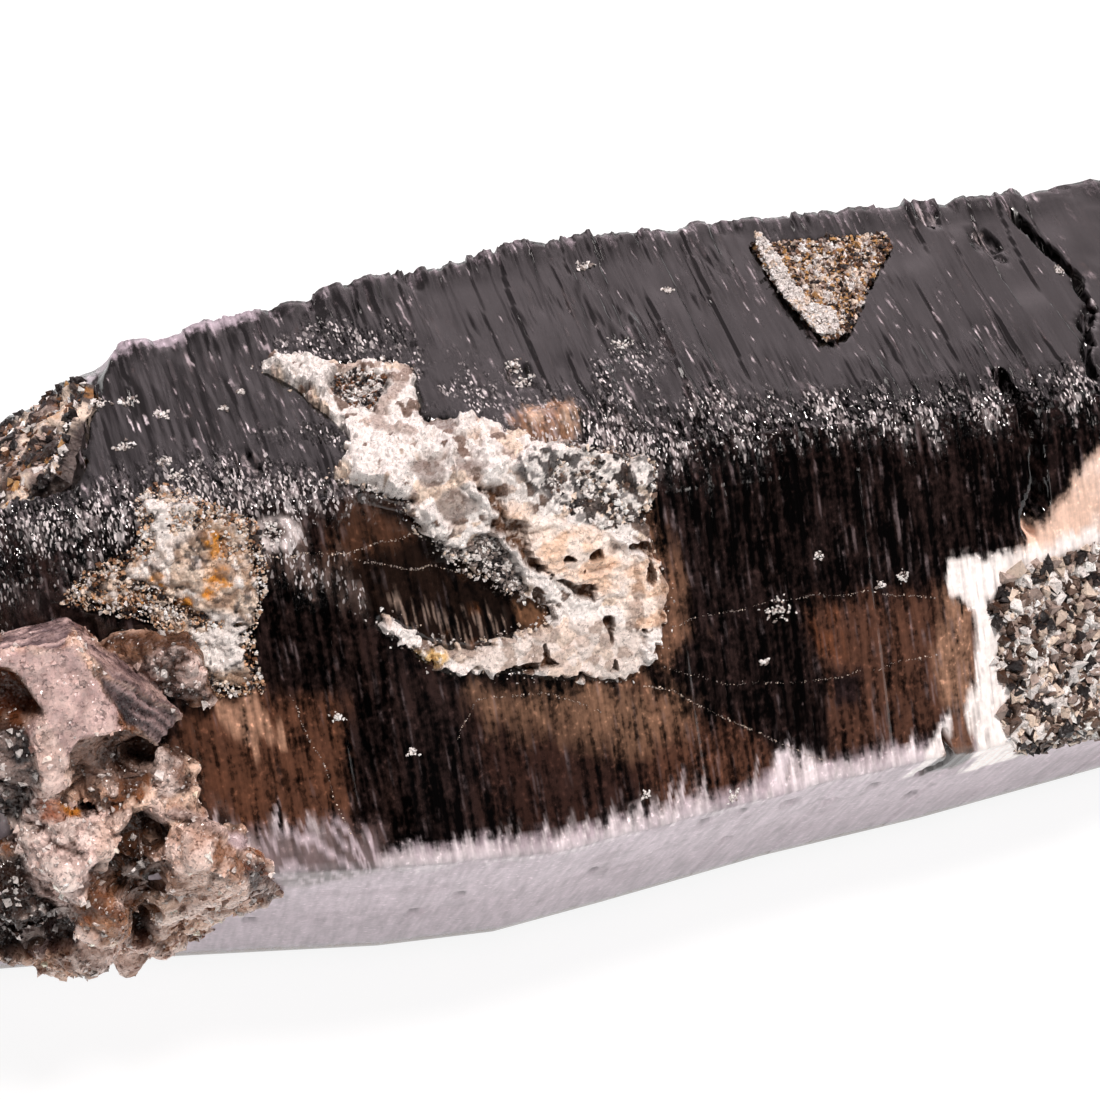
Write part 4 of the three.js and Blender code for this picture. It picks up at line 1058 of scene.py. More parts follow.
def left_relief(x, down, depth):
    """Lift and colour of the left crust."""
    rim = ramp(depth / 0.5)
    big, big_mark = druse(x, down, 1.1, 127, 1.0)
    small, small_mark = druse(x, down, 0.5, 121, 1.4)
    tiny, tiny_mark = druse(x, down, 0.24, 122, 1.5)
    lumps = clouds(x / 1.8, down / 1.8, 123)
    lift = -0.4 + rim * (0.5 + 0.6 * lumps + 0.3 * big + 0.25 * small + 0.1 * tiny)
    # Darker brown blotches, and painted shade in the low places between the crystals.
    stain_and_low_shade = 0.75 * ramp(3.0 * clouds(x / 0.7, down / 0.5, 124) - 0.2) + ramp(-1.6 * small) * 0.4
    # The groove, sunk and painted dark umber: painted shade in it.
    dark_groove = ramp(1.4 - off_line(LEFT_GROOVE, x, down) / 0.4)
    tint = layered(
        CREAM,
        (SNOW, 0.8 * (small_mark > 0.6)),
        (DUSK, 0.8 * (small_mark < 0.24) + 0.5 * (tiny_mark < 0.16)),
        (linear(196, 164, 138), ramp(big_mark * 1.5 - 0.3) * 0.7 + 0.4 * (tiny_mark > 0.7)),
        (linear(140, 112, 92), stain_and_low_shade),
        (SNOW, ramp((2.2 - np.hypot(x + 20.9, down + 0.2)) / 0.8) * 0.9),
        (SNOW, ramp((1.7 - np.hypot(x + 19.2, down - 6.2)) / 0.6) * 0.9),
        (COAL, 0.85 * ramp(5 * clouds(x / 0.3, down / 0.3, 125) - 1.6) + 0.6 * (tiny_mark < 0.06)),
        (UMBER, dark_groove * 0.85),
    )
    for cx, cd, radius in RUST_SPOTS:
        spot = ramp(1.5 - np.hypot(x - cx, down - cd) / radius + 0.8 * clouds(x / 0.4, down / 0.4, 126))
        tint = layered(tint, (RUST, spot * (0.3 + 0.6 * (tiny_mark > 0.35))))
    return lift - 0.5 * dark_groove * rim, tint


def rock_relief(seed, dark):
    """The relief of granular rock with its own pattern and dark colour."""

    def relief(x, down, depth):
        rim = ramp(depth / 0.3)
        small, small_mark = druse(x, down, 0.5, seed, 1.2)
        tiny, tiny_mark = druse(x, down, 0.24, seed + 3, 1.3)
        lumps = clouds(x / 1.2, down / 1.2, seed + 5)
        lift = -0.5 + rim * (0.35 + 0.45 * lumps + 0.2 * small + 0.1 * tiny)
        return lift, layered(dark, (COAL, ramp(small_mark * 2 - 0.6)), (CREAM, 0.8 * (tiny_mark > 0.75)))

    return relief


def sheet(heap, low, high, pitch, depth_at, relief, place, thickness):
    """A closed lumpy sheet wherever its depth is over zero, thin at its sunken rim."""
    steps = [np.arange(*span, pitch) for span in zip(low, high)]
    u, v = np.meshgrid(*steps, indexing="ij")
    depth = depth_at(u, v)
    lift, tint = relief(u, v, depth)
    held = depth > 0
    cells = held[:-1, :-1] & held[1:, :-1] & held[:-1, 1:] & held[1:, 1:]
    i, j = np.nonzero(cells)
    across = u.shape[1]
    a, b = i * across + j, (i + 1) * across + j
    upper = np.concatenate([np.stack([a, a + 1, b], -1), np.stack([b, a + 1, b + 1], -1)])
    used, local = np.unique(upper, return_inverse=True)
    upper = local.reshape(-1, 3)
    count = len(used)
    u, v, lift = (values.ravel()[used] for values in (u, v, lift))
    tint = tint.reshape(-1, 3)[used]
    over = place(u, v, lift)
    under = place(u, v, lift - thickness)
    edges = np.concatenate([upper[:, [0, 1]], upper[:, [1, 2]], upper[:, [2, 0]]])
    keys = edges[:, 0] * count + edges[:, 1]
    open_edges = edges[~np.isin(keys, edges[:, 1] * count + edges[:, 0])]
    p, q = open_edges[:, 0], open_edges[:, 1]
    walls = np.concatenate([np.stack([q, p, p + count], -1), np.stack([q, p + count, q + count], -1)])
    faces = np.concatenate([upper, upper[:, ::-1] + count, walls])
    heap.add(np.concatenate([over, under]), faces, np.concatenate([tint, tint]))


def crust_sheet(heap, outline, pitch, relief, fray, seed):
    """A lumpy sheet over an outline on the faces, with a frayed rim."""

    def depth_at(x, down):
        noise = clouds(x / 0.8, down / 0.8, seed) + 0.5 * cloud(x / 0.25, down / 0.25, seed + 7)
        return inside(outline, x, down) + fray * noise

    low, high = np.min(outline, 0) - 0.4, np.max(outline, 0) + 0.4
    sheet(heap, low, high, pitch, depth_at, relief, face_points, CRUST_THICKNESS)


def pick(rng, count, colours, shares):
    """A random colour for each grain, with its own brightness."""
    chosen = np.array(colours)[rng.choice(len(colours), count, p=np.array(shares) / np.sum(shares))]
    return np.clip(chosen * rng.uniform(0.7, 1.15, (count, 1)), 0, 0.95)


def clumped(rng, x, down, size, seed, colours, shares):
    """A colour for each grain, much like its neighbours' within a clump."""
    order = 0.5 + 0.75 * clouds(x / size, down / size, seed) + 0.26 * rng.normal(size=len(x))
    ends = np.cumsum(shares) / np.sum(shares)
    chosen = np.array(colours)[np.searchsorted(ends[:-1], order)]
    return np.clip(chosen * rng.uniform(0.65, 1.15, (len(x), 1)), 0, 0.95)


def grain_sizes(rng, count, low, high):
    """Many small sizes and few large ones."""
    return low * (high / low) ** (rng.uniform(0, 1, count) ** 1.8)


def grain_bed(heap, rng, outline, count, sizes, lift, margin, clump, *kinds):
    """Grains scattered over an outline. Each kind is a colour and its part of the grains."""
    colours, shares = zip(*kinds)
    x, down = scattered_in(outline, count, rng, margin)
    size = grain_sizes(rng, len(x), *sizes)
    height = lift + rng.uniform(-0.3, 0.35, len(x)) * size
    tints = clumped(rng, x, down, clump, 200 + len(colours), colours, shares)
    add_grains(heap, face_points(x, down, height), size, tints, rng)


def bedded(seed, crust, beds):
    """A lumpy sheet with beds of grains on it, and the random numbers that come next."""
    heap = Heap()
    rng = np.random.default_rng(seed)
    crust_sheet(heap, *crust)
    for bed in beds:
        grain_bed(heap, rng, *bed)
    return heap, rng


def build_centre_crust(material):
    """The crust in the eye-shaped hollow, with a fringe of loose grains round its rim."""
    heap, rng = bedded(7, (CRUST, 0.07, centre_relief, 0.45, 131), [
        (SALT_ZONE, 1500, (0.07, 0.34), 0.2, 0.1, 0.5, (COAL, 4), (DUSK, 3), (CREAM, 2), (SNOW, 6)),
        (GREY_FRINGE, 1200, (0.06, 0.24), -0.15, 0.05, 0.4, (COAL, 4), (GREY, 4), (SNOW, 5)),
        (TAIL_DARK, 500, (0.06, 0.24), 0.1, 0.05, 0.4, (COAL, 4), (BROWN, 4), (SNOW, 4)),
    ])
    x, down = scattered_in(CRUST, 5200, rng, -0.35)
    depth = inside(CRUST, x, down)
    x, down = x[depth < 0.3], down[depth < 0.3]
    size = grain_sizes(rng, len(x), 0.06, 0.22)
    tints = clumped(rng, x, down, 0.5, 211, (GREY, CREAM, SNOW), (4, 2, 6))
    add_grains(heap, face_points(x, down, rng.uniform(-0.35, 0.0, len(x))), size, tints, rng)
    return heap.build("centre_crust_grown", material)


def build_left_crust(material):
    """The white crust with orange stains at the left of the front."""
    heap, _ = bedded(8, (LEFT_CRUST, 0.075, left_relief, 0.5, 132), [
        (LEFT_CRUST, 5600, (0.06, 0.24), 0.1, -0.2, 0.5, (COAL, 2), (BROWN, 3), (TAN, 4), (CREAM, 6),
         (SNOW, 6)),
    ])
    return heap.build("left_crust_grown", material)


def build_side_matrix(material):
    """The granular rock in the pocket at the right of the front."""
    heap, _ = bedded(9, (SIDE_POCKET, 0.12, rock_relief(141, GREY), 0.3, 133), [
        (SIDE_POCKET, 9000, (0.13, 0.7), 0.0, 0.0, 0.8, (COAL, 3), (UMBER, 3), (DUSK, 3), (ASH, 3),
         (CREAM, 3), (SNOW, 7)),
    ])
    return heap.build("side_matrix_grains", material)


def build_top_matrix(material):
    """The three-cornered patch of granular rock on the upper face."""
    heap, _ = bedded(10, (TOP_POCKET, 0.09, rock_relief(142, DUSK), 0.8, 134), [
        (TOP_POCKET, 4600, (0.07, 0.3), 0.15, -0.15, 0.5, (COAL, 3), (UMBER, 3), (BROWN, 2), (GOLD, 3),
         (ASH, 3), (CREAM, 3), (SNOW, 4)),
        (TOP_WHITE, 1700, (0.07, 0.26), 0.35, -0.15, 0.6, (CREAM, 1), (SNOW, 9)),
    ])
    return heap.build("top_matrix_grains", material)


# Fine whitish fractures that reach the front: points, and how crowded the flakes are.
FRACTURES = [
    ([(-17.3, 2.5), (-15.1, 2.7), (-12.9, 2.9), (-11.3, 2.6), (-9.5, 2.3)], 16),
    ([(-12.7, 3.1), (-10.5, 3.9), (-9, 4.3), (-6.8, 5.3)], 14),
    ([(-0.5, 11.4), (1.2, 12.1), (2.4, 13), (5.7, 15), (8.6, 16.7)], 12),
    ([(1.1, 8.8), (5, 8.5), (9.3, 8.3), (11.8, 8.5), (15.2, 9)], 8),
    ([(0.8, 10.9), (4, 12.1), (7.4, 12.4), (10, 12.5), (14.8, 11.9)], 6),
    ([(-16.6, 9.0), (-15.6, 12.4), (-15.0, 16.0)], 9),
    ([(-9.6, 12.2), (-8.4, 10.6), (-5.2, 10.9), (-2.6, 12.3)], 9),
]
# x, distance down the front, radius.
WHITE_SPECKS = [
    (7, 8.7, 0.8), (13.7, 8, 0.4), (6.1, -10.6, 0.35), (27, -9, 0.6), (2.5, -12.8, 0.5), (2.6, -7, 0.6),
    (-2.9, -6.6, 0.5), (-2.8, -5.6, 0.6), (-22.0, -7.7, 0.5), (-20.6, -7.5, 0.5), (-19.4, -6.4, 0.35),
    (-21.4, -4.5, 0.5), (-19.9, -3.2, 0.4), (-19.6, -2.1, 0.5), (-16.6, -6.4, 0.25), (-15.7, -7.4, 0.25),
    (12.4, 8.2, 0.3), (5.9, 11.2, 0.25), (-16.2, 1.3, 0.7), (9.4, 6.4, 0.3), (-14.6, 10.4, 0.35),
    (-11.6, 12.4, 0.3), (3.4, 17.6, 0.4), (-1.0, 16.8, 0.3),
]


def along_line(line, step, rng):
    """Places along an open line, with a little jitter."""
    x, down = [], []
    for p, q in zip(line, line[1:]):
        count = max(2, int(math.hypot(q[0] - p[0], q[1] - p[1]) * step * 1.8))
        t = rng.uniform(0, 1, count)
        x.append(p[0] + t * (q[0] - p[0]))
        down.append(p[1] + t * (q[1] - p[1]))
    x, down = np.concatenate(x), np.concatenate(down)
    bend = 0.25 * clouds(x / 1.3, down / 1.3, 191)
    return x + bend + rng.normal(0, 0.02, len(x)), down + bend + rng.normal(0, 0.03, len(x))


def build_fractures(material):
    """Small bright flakes along the fractures and round the white specks."""
    heap = Heap()
    rng = np.random.default_rng(12)
    for line, step in FRACTURES:
        x, down = along_line(line, step, rng)
        size = np.exp(rng.normal(-3.25, 0.4, len(x)))
        tints = pick(rng, len(x), (GREY, CREAM), (3, 2))
        add_grains(heap, face_points(x, down, crystal_lift(x, down)), size, tints, rng, 0.6)
    for cx, cd, radius in WHITE_SPECKS:
        count = int(70 * radius)
        x = cx + radius * 0.45 * rng.normal(size=count)
        down = cd + radius * 0.32 * rng.normal(size=count)
        tints = pick(rng, count, (SNOW, GREY), (4, 1))
        size = rng.uniform(0.06, 0.2, count)
        add_grains(heap, face_points(x, down, crystal_lift(x, down)), size, tints, rng)
    return heap.build("fracture_flakes", material)


# The rock on the broken corner of the base.
UPHILL = np.cross((0, 1, 0), BREAK_SLOPE)
UPHILL = UPHILL / np.linalg.norm(UPHILL)
BACKWARD = np.cross(BREAK_SLOPE, UPHILL)
BREAK_LOW = (-19, -8.5)
BREAK_HIGH = (1, 12.5)
BREAK_THICKNESS = 0.6


def break_points(a, b, lift):
    """Points over the break: a uphill from its edge, b to the back, lift off it."""
    return BREAK_EDGE + a[..., None] * UPHILL + b[..., None] * BACKWARD + lift[..., None] * BREAK_SLOPE


def break_depth(a, b):
    """Distance inside the broken corner's bounds."""
    x, y, z = np.moveaxis(break_points(a, b, np.zeros_like(a)), -1, 0)
    _, height, top_back = SECTIONS[0, :3]
    back_reach = COS30 * top_back + 0.5 * height
    return np.minimum.reduce([
        x - BASE_X, y - BREAK_WALL_Y - 0.3, back_reach - COS30 * y - 0.5 * z, height + 0.3 - z,
    ])


def base_relief(a, b, depth):
    """Lift and colour of the rock on the broken corner."""
    rim = ramp(depth / 0.5)
    small, small_mark = druse(a, b, 0.8, 151, 1.2)
    tiny, _ = druse(a, b, 0.35, 152, 1.3)
    block = ramp(1.5 - np.hypot((a + 9) / 2.2, (b + 5) / 1.5))
    lumps = 0.9 + 0.7 * clouds(a / 2.5, b / 2.5, 153) + 0.35 * small + 0.12 * tiny + 0.4 * block
    lift = -0.2 + rim * lumps
    tint = layered(
        UMBER,
        (ASH, ramp(small_mark * 1.8 - 0.8)),
        (COAL, 0.8 * ramp(1.6 - depth / 0.7)),
        (COAL, 0.85 * ramp(4 * clouds(a / 0.9, b / 0.9, 154) - 0.5)),
        (CREAM, ramp(4 * clouds(a / 1.3, b / 1.3, 155) - 0.9)),
        (RUST, 0.4 * ramp(5 * clouds(a / 0.8, b / 0.8, 156) - 1.9)),
        (CREAM, block * 0.9),
    )
    return lift, tint


def build_base_matrix(material):
    """The rock on the broken corner: a sheet and its grains, darker round the rim."""
    heap = Heap()
    rng = np.random.default_rng(11)
    sheet(heap, BREAK_LOW, BREAK_HIGH, 0.13, break_depth, base_relief, break_points, BREAK_THICKNESS)
    a, b = rng.uniform(BREAK_LOW, BREAK_HIGH, (12500, 2)).T
    held = break_depth(a, b) > 0.1
    a, b = a[held], b[held]
    centres = break_points(a, b, 0.75 + 0.7 * clouds(a / 2.5, b / 2.5, 153))
    kinds = (COAL, UMBER, BROWN, GOLD, ASH, CREAM, SNOW)
    colours = clumped(rng, a, b, 0.9, 221, kinds, (7, 4, 4, 1, 4, 3, 3))
    rim = rng.uniform(0, 1, len(a)) > 1.6 * break_depth(a, b)
    colours[rim] = pick(rng, rim.sum(), (COAL, SNOW), (7, 2))
    add_grains(heap, centres, grain_sizes(rng, len(a), 0.1, 0.55), colours, rng)
    return heap.build("base_matrix_grains", material)


# ---- the crystals and lumps at the base ----

# Corners as x, distance down the front, height over the face.
CHUNKS = [
    [(-25.7, 4.3, 1.2), (-28.7, 5.2, 1.6), (-30.8, 5.4, 1.6), (-25.8, 4.8, 4.2), (-28.8, 5.0, 5.0),
     (-31.5, 5.0, 5.0), (-21.3, 9.3, 0.9), (-22.9, 10.5, 1.8), (-24.7, 8.9, 4.0), (-26.9, 9.9, 4.4),
     (-28.2, 11.8, 3.6), (-31.5, 11.4, 4.6), (-25.8, 9.3, -3.0), (-30.8, 9.0, -3.0)],
    [(-24.6, 5.9, 0.4), (-23.6, 5.4, 0.4), (-21.9, 5.4, 0.4), (-20.6, 5.6, 0.5), (-20.1, 6.3, 0.6),
     (-19.9, 8.8, 0.5), (-20.9, 9.1, 0.5), (-22.8, 7.6, 0.8), (-23.0, 5.9, 1.4), (-21.0, 6.2, 1.8),
     (-20.6, 7.7, 1.7), (-22.0, 7.8, -2.5)],
    [(-23.9, 15.5, 1.2), (-23.2, 14.6, 1.6), (-22.4, 14.1, 2.2), (-21.5, 14.2, 1.8), (-20.7, 15.0, 1.2),
     (-20.0, 15.9, 1.0), (-18.9, 16.6, 0.6), (-18.0, 22.5, 0.2), (-19.2, 22.4, 0.5), (-20.5, 21.1, 0.9),
     (-21.5, 23.2, 0.9), (-22.6, 22.2, 0.9), (-23.4, 16.6, 1.6), (-22.1, 15.5, 3.0), (-20.3, 16.4, 2.0),
     (-20.4, 24.0, -3.0)],
]
# Lumps: x, distance down the front, height over the face, radius, shape number.
LUMPS = [
    (-27.4, 15.1, 1.2, 2.6, 1), (-26.0, 18.8, 0.4, 2.6, 2), (-28.6, 12.0, 0.9, 2.7, 3),
    (-25.0, 11.6, 0.7, 2.5, 4), (-22.6, 12.0, 0.0, 1.7, 5), (-29.9, 17.1, 0.4, 3.0, 6),
    (-24.7, 16.2, 0.2, 2.6, 7), (-22.6, 13.8, 0.5, 1.5, 8), (-20.2, 15.6, -0.2, 1.2, 9),
    (-24.4, 29.0, -0.6, 3.0, 10), (-27.4, 23.5, 0.0, 3.2, 11), (-22.2, 31.6, -1.0, 2.2, 12),
    (-30.8, 24.0, -0.4, 3.4, 13), (-33.0, 11.8, 0.2, 3.2, 14), (-32.8, 19.0, 0.2, 3.0, 15),
    (-24.0, 13.6, 0.3, 2.1, 16), (-23.6, 19.8, -0.5, 2.7, 17), (-24.4, 24.4, -0.4, 2.9, 18),
    (-21.6, 26.6, -0.8, 2.3, 19), (-28.0, 29.6, -0.8, 3.0, 20), (-24.2, 18.6, -0.2, 2.6, 21),
]
LUMP_POINTS = 16
LUMP_FOOT = 0.25
CLUSTER_VOXEL = 0.16
CLUSTER_GRAINS = 7500
# How far the cluster may reach to the front and to the base, and how low.
CLUSTER_FRONT = -18.4
CLUSTER_BASE = -36.6
CLUSTER_FOOT = 0.05
# The warm cast that the brown quartz gives its lumps: red, green and blue.
CLUSTER_CAST = np.array([1.13, 0.98, 0.93])

# Growth lines of the chunk's two lined faces.
CHUNK_GROWTH = (0.952, 0.306)
BAND_GROWTH = (0.796, -0.606)
# The cluster's parts, their outlines as seen from the front and above: two colours, the craggy
# share of the relief, how far sunk, and the direction of growth lines.
CLUSTER_ZONES = [
    # lower dark: painted shadow of a cavity at the foot
    ([(-28.1, -15.4), (-26.7, -15.5), (-25.6, -17.1), (-24.2, -18.6), (-24.0, -19.9), (-25.6, -20.3),
      (-30.5, -21.1), (-30.5, -14.9)],
     (58, 44, 38), (22, 17, 17), 0.8, 0.7, None),
    # black grit
    ([(-30.5, -9.1), (-28.1, -9.1), (-26.8, -9.2), (-26.2, -10.5), (-26.0, -11.9), (-26.2, -13.3),
      (-27.3, -14.0), (-30.5, -13.7)],
     (32, 28, 29), (132, 122, 118), 1.0, 0.4, None),
    # white mix
    ([(-26.2, -12.3), (-22.9, -13.2), (-21.6, -13.4), (-22.2, -14.9), (-22.7, -16.8), (-24.3, -18.5),
      (-25.8, -17.6), (-27.1, -15.5), (-28.1, -14.4), (-27.3, -14.0)],
     (92, 70, 60), (234, 221, 217), 1.0, 0.0, None),
    # red grains
    ([(-26.1, -12.6), (-25.1, -12.7), (-24.8, -13.6), (-25.8, -13.6)],
     (150, 98, 74), (196, 156, 136), 1.0, 0.0, None),
    # rust stain
    ([(-25.1, -12.9), (-24.1, -13.2), (-24.0, -13.8), (-24.7, -13.7)],
     (204, 142, 60), (150, 96, 50), 0.8, 0.0, None),
    # brown lump
    ([(-24.3, -18.5), (-23.1, -16.5), (-21.6, -17.8), (-20.6, -20.1), (-21.1, -20.5), (-22.9, -20.3),
      (-24.0, -19.6)],
     (112, 74, 50), (176, 140, 112), 0.8, 0.0, None),
    # foot white
    ([(-24.1, -19.0), (-22.9, -19.9), (-20.6, -20.1), (-19.2, -20.7), (-21.1, -21.3), (-22.7, -21.1),
      (-24.0, -20.1)],
     (226, 210, 202), (180, 150, 130), 0.7, 0.0, None),
    # lower cavity, sunk and painted dark brown: painted shade in the hollow
    ([(-22.1, -14.4), (-21.1, -13.3), (-20.1, -13.1), (-19.6, -14.0), (-20.1, -15.4), (-19.5, -16.8),
      (-20.1, -18.0), (-20.4, -19.9), (-21.1, -19.9), (-21.6, -18.0), (-22.6, -17.4), (-23.1, -16.1),
      (-22.5, -14.9)],
     (32, 19, 12), (92, 62, 42), 0.6, 1.0, None),
    # white ridge
    ([(-23.4, -14.4), (-22.6, -13.7), (-21.4, -13.1), (-21.0, -13.3), (-22.0, -14.4), (-22.4, -15.4),
      (-22.9, -16.5), (-23.2, -15.5)],
     (226, 214, 206), (190, 170, 158), 0.6, -0.2, None),
    # chunk front, painted pale as a lit face
    ([(-30.5, -5.3), (-27.8, -5.4), (-25.1, -5.1), (-24.3, -4.8), (-22.9, -6.9), (-22.2, -8.0),
      (-21.9, -9.0), (-22.9, -9.6), (-24.0, -9.8), (-24.6, -10.6), (-24.7, -11.9), (-25.8, -12.4),
      (-26.2, -10.5), (-26.8, -9.2), (-26.1, -8.7), (-26.7, -7.2), (-27.6, -6.3), (-30.5, -6.3)],
     (186, 168, 168), (228, 212, 208), 0.35, 0.0, None),
    # chunk edge
    ([(-26.8, -7.2), (-26.1, -8.7), (-26.4, -9.5), (-26.1, -11.2), (-25.8, -12.4), (-24.7, -11.9),
      (-24.6, -10.7), (-25.2, -9.5), (-26.2, -7.7), (-26.7, -6.8), (-27.3, -6.1), (-27.7, -6.3)],
     (234, 220, 214), (186, 168, 162), 0.6, 0.0, None),
    # upper cavity, sunk and painted dark: painted shade in the hollow
    ([(-30.5, -6.3), (-28.1, -6.3), (-27.3, -6.6), (-26.7, -7.5), (-26.1, -8.6), (-26.8, -9.1),
      (-30.5, -9.1)],
     (88, 48, 26), (26, 17, 14), 0.3, 1.8, None),
    # brown glass
    ([(-24.5, -10.5), (-24.0, -9.8), (-22.9, -9.5), (-21.6, -9.2), (-20.1, -10.1), (-20.1, -11.7),
      (-21.1, -12.1), (-22.6, -12.3), (-24.3, -12.3)],
     (50, 32, 23), (146, 124, 112), 0.5, 0.7, None),
    # chunk top, painted darker as a shaded face
    ([(-30.5, -4.9), (-28.1, -4.7), (-27.8, -3.9), (-24.7, -3.4), (-24.2, -3.9), (-25.1, -5.0),
      (-27.3, -5.2), (-30.5, -5.6)],
     (92, 80, 84), (190, 174, 173), 0.1, 0.0, CHUNK_GROWTH),
    # band light: the band's lit part, painted light
    ([(-24.6, -3.4), (-23.4, -4.7), (-22.1, -5.5), (-20.1, -6.6), (-18.5, -8.4), (-18.9, -8.6),
      (-20.6, -7.5), (-22.1, -6.6), (-23.1, -5.8), (-24.0, -4.8)],
     (176, 158, 154), (104, 90, 92), 0.2, 0.0, BAND_GROWTH),
    # band dark: the band's shaded part, painted dark
    ([(-23.1, -6.3), (-22.1, -6.6), (-20.6, -7.5), (-18.9, -8.6), (-19.2, -9.5), (-20.0, -10.1),
      (-21.1, -9.2), (-22.1, -8.2), (-22.7, -7.0)],
     (44, 38, 41), (146, 132, 134), 0.2, 0.1, BAND_GROWTH),
    # hump
    ([(-23.1, -4.9), (-22.1, -4.3), (-20.1, -4.0), (-18.5, -4.2), (-17.8, -4.9), (-17.3, -6.3),
      (-17.0, -7.5), (-18.2, -8.0), (-18.9, -8.0), (-20.4, -6.6), (-22.1, -5.5)],
     (62, 40, 27), (140, 110, 88), 0.5, 0.0, None),
    # hump sugar
    ([(-21.1, -5.8), (-20.1, -5.0), (-18.7, -5.0), (-17.7, -6.3), (-17.3, -7.5), (-18.9, -7.7),
      (-20.1, -6.6)],
     (60, 44, 37), (214, 198, 192), 1.0, 0.0, None),
    # hump rim
    ([(-23.1, -4.6), (-22.1, -4.0), (-20.1, -3.7), (-18.4, -3.8), (-17.3, -4.9), (-17.5, -5.0),
      (-18.5, -4.2), (-20.1, -4.0), (-22.1, -4.3), (-23.1, -4.9)],
     (220, 198, 180), (176, 148, 126), 0.4, -0.1, None),
    # right rim
    ([(-20.1, -10.2), (-19.4, -9.5), (-18.7, -8.5), (-18.3, -9.5), (-18.8, -11.0), (-18.5, -12.2),
      (-20.1, -12.8)],
     (124, 102, 90), (66, 50, 42), 0.9, 0.0, None),
    # tan lobe
    ([(-20.3, -15.4), (-19.6, -14.4), (-18.7, -14.0), (-17.7, -13.9), (-16.7, -14.4), (-15.7, -15.4),
      (-14.5, -15.9), (-13.7, -17.6), (-14.9, -18.0), (-16.2, -18.2), (-17.4, -18.7), (-18.7, -18.6),
      (-19.4, -17.1)],
     (132, 100, 78), (226, 208, 196), 0.8, 0.0, None),
    # lobe white
    ([(-20.1, -15.4), (-19.4, -14.7), (-18.2, -14.4), (-17.4, -14.9), (-17.7, -16.1), (-18.7, -16.8),
      (-19.4, -16.3)],
     (222, 204, 194), (166, 140, 124), 0.8, -0.1, None),
    # lobe dark
    ([(-15.7, -15.9), (-14.6, -15.7), (-14.0, -17.1), (-14.1, -17.9), (-15.2, -17.8)],
     (96, 58, 38), (48, 33, 28), 0.8, 0.2, None),
    # crest
    ([(-20.4, -12.9), (-19.4, -13.1), (-18.2, -13.3), (-17.2, -13.7), (-16.4, -14.4), (-16.9, -14.7),
      (-17.8, -14.2), (-18.9, -13.8), (-19.9, -14.0), (-20.3, -13.6)],
     (214, 200, 194), (128, 112, 106), 0.4, -0.25, BAND_GROWTH),
    # grey facet
    ([(-16.7, -14.3), (-15.3, -14.8), (-14.7, -14.9), (-15.8, -15.4), (-16.6, -14.9)],
     (184, 174, 180), (160, 150, 156), 0.0, 0.0, None),
]


def seen(points):
    """Across and up, in mm, of points looked at from the front and above."""
    right, upward, away = view_axes()
    rel = points - LOOK_POINT
    reach = VIEW_DISTANCE / (VIEW_DISTANCE - rel @ away)
    return (rel @ right) * reach, (rel @ upward) * reach


def convex_hull(points):
    """The closed hull of points: corners, triangles."""
    shell = bmesh.new()
    for p in points:
        shell.verts.new(p)
    bmesh.ops.convex_hull(shell, input=shell.verts)
    bmesh.ops.delete(shell, geom=[v for v in shell.verts if not v.link_faces], context="VERTS")
    bmesh.ops.triangulate(shell, faces=shell.faces)
    shell.verts.index_update()
    corners = np.array([tuple(v.co) for v in shell.verts])
    faces = np.array([[v.index for v in face.verts] for face in shell.faces])
    shell.free()
    return corners, faces


def lump_corners(x, down, lift, radius, shape):
    """Uneven corners all round a lump, none of them under the floor."""
    centre = face_points(x, down, lift)[0]
    i = np.arange(LUMP_POINTS)
    polar = np.arccos(1 - 2 * (i + 0.5) / LUMP_POINTS)
    turn = i * 2.4 + shape
    reach = radius * (0.85 + 0.25 * spread(i, shape, 4))
    points = np.stack([
        reach * np.sin(polar) * np.sin(turn), reach * np.cos(polar), reach * np.sin(polar) * np.cos(turn),
    ], -1) + centre
    points[:, 2] = np.maximum(points[:, 2], LUMP_FOOT)
    return points


def fused(shells, voxel):
    """One skin round overlapping closed shells: points, quads, normals."""
    heap = Heap()
    for corners, faces in shells:
        heap.add(corners, faces, (0, 0, 0))
    draft = heap.build("draft", None)
    remesh = draft.modifiers.new("skin", "REMESH")
    remesh.mode = "VOXEL"
    remesh.voxel_size = voxel * MM
    skin = draft.evaluated_get(bpy.context.evaluated_depsgraph_get()).to_mesh()
    points = np.zeros(len(skin.vertices) * 3, np.float32)
    normals = np.zeros(len(skin.vertices) * 3, np.float32)
    quads = np.zeros(len(skin.polygons) * 4, np.int32)
    skin.vertices.foreach_get("co", points)
    skin.vertices.foreach_get("normal", normals)
    skin.polygons.foreach_get("vertices", quads)
    bpy.data.objects.remove(draft)
    return points.reshape(-1, 3) / MM, quads.reshape(-1, 4), normals.reshape(-1, 3)


def crag(p, size, seed):
    """Rocky relief of crowded blunt crystals in space: height in sizes, a number of each."""
    g = p / size
    cell = np.floor(g)
    top = np.full(len(p), -9.0)
    mark = np.zeros(len(p))
    for du in (-1, 0, 1):
        for dv in (-1, 0, 1):
            for dw in (-1, 0, 1):
                c = cell + (du, dv, dw)
                key = c[:, 2] * 57.0 + seed
                centre = c + np.stack([scatter(c[:, 0], c[:, 1], key + i) for i in (0, 1, 2)], -1)
                away = np.abs(g - centre)
                reach = np.maximum(away.max(1), 0.62 * away.sum(1))
                height = 0.8 * scatter(c[:, 0], c[:, 1], key + 3) - reach
                mark = np.where(height > top, scatter(c[:, 0], c[:, 1], key + 4), mark)
                top = np.maximum(top, height)
    return top, mark


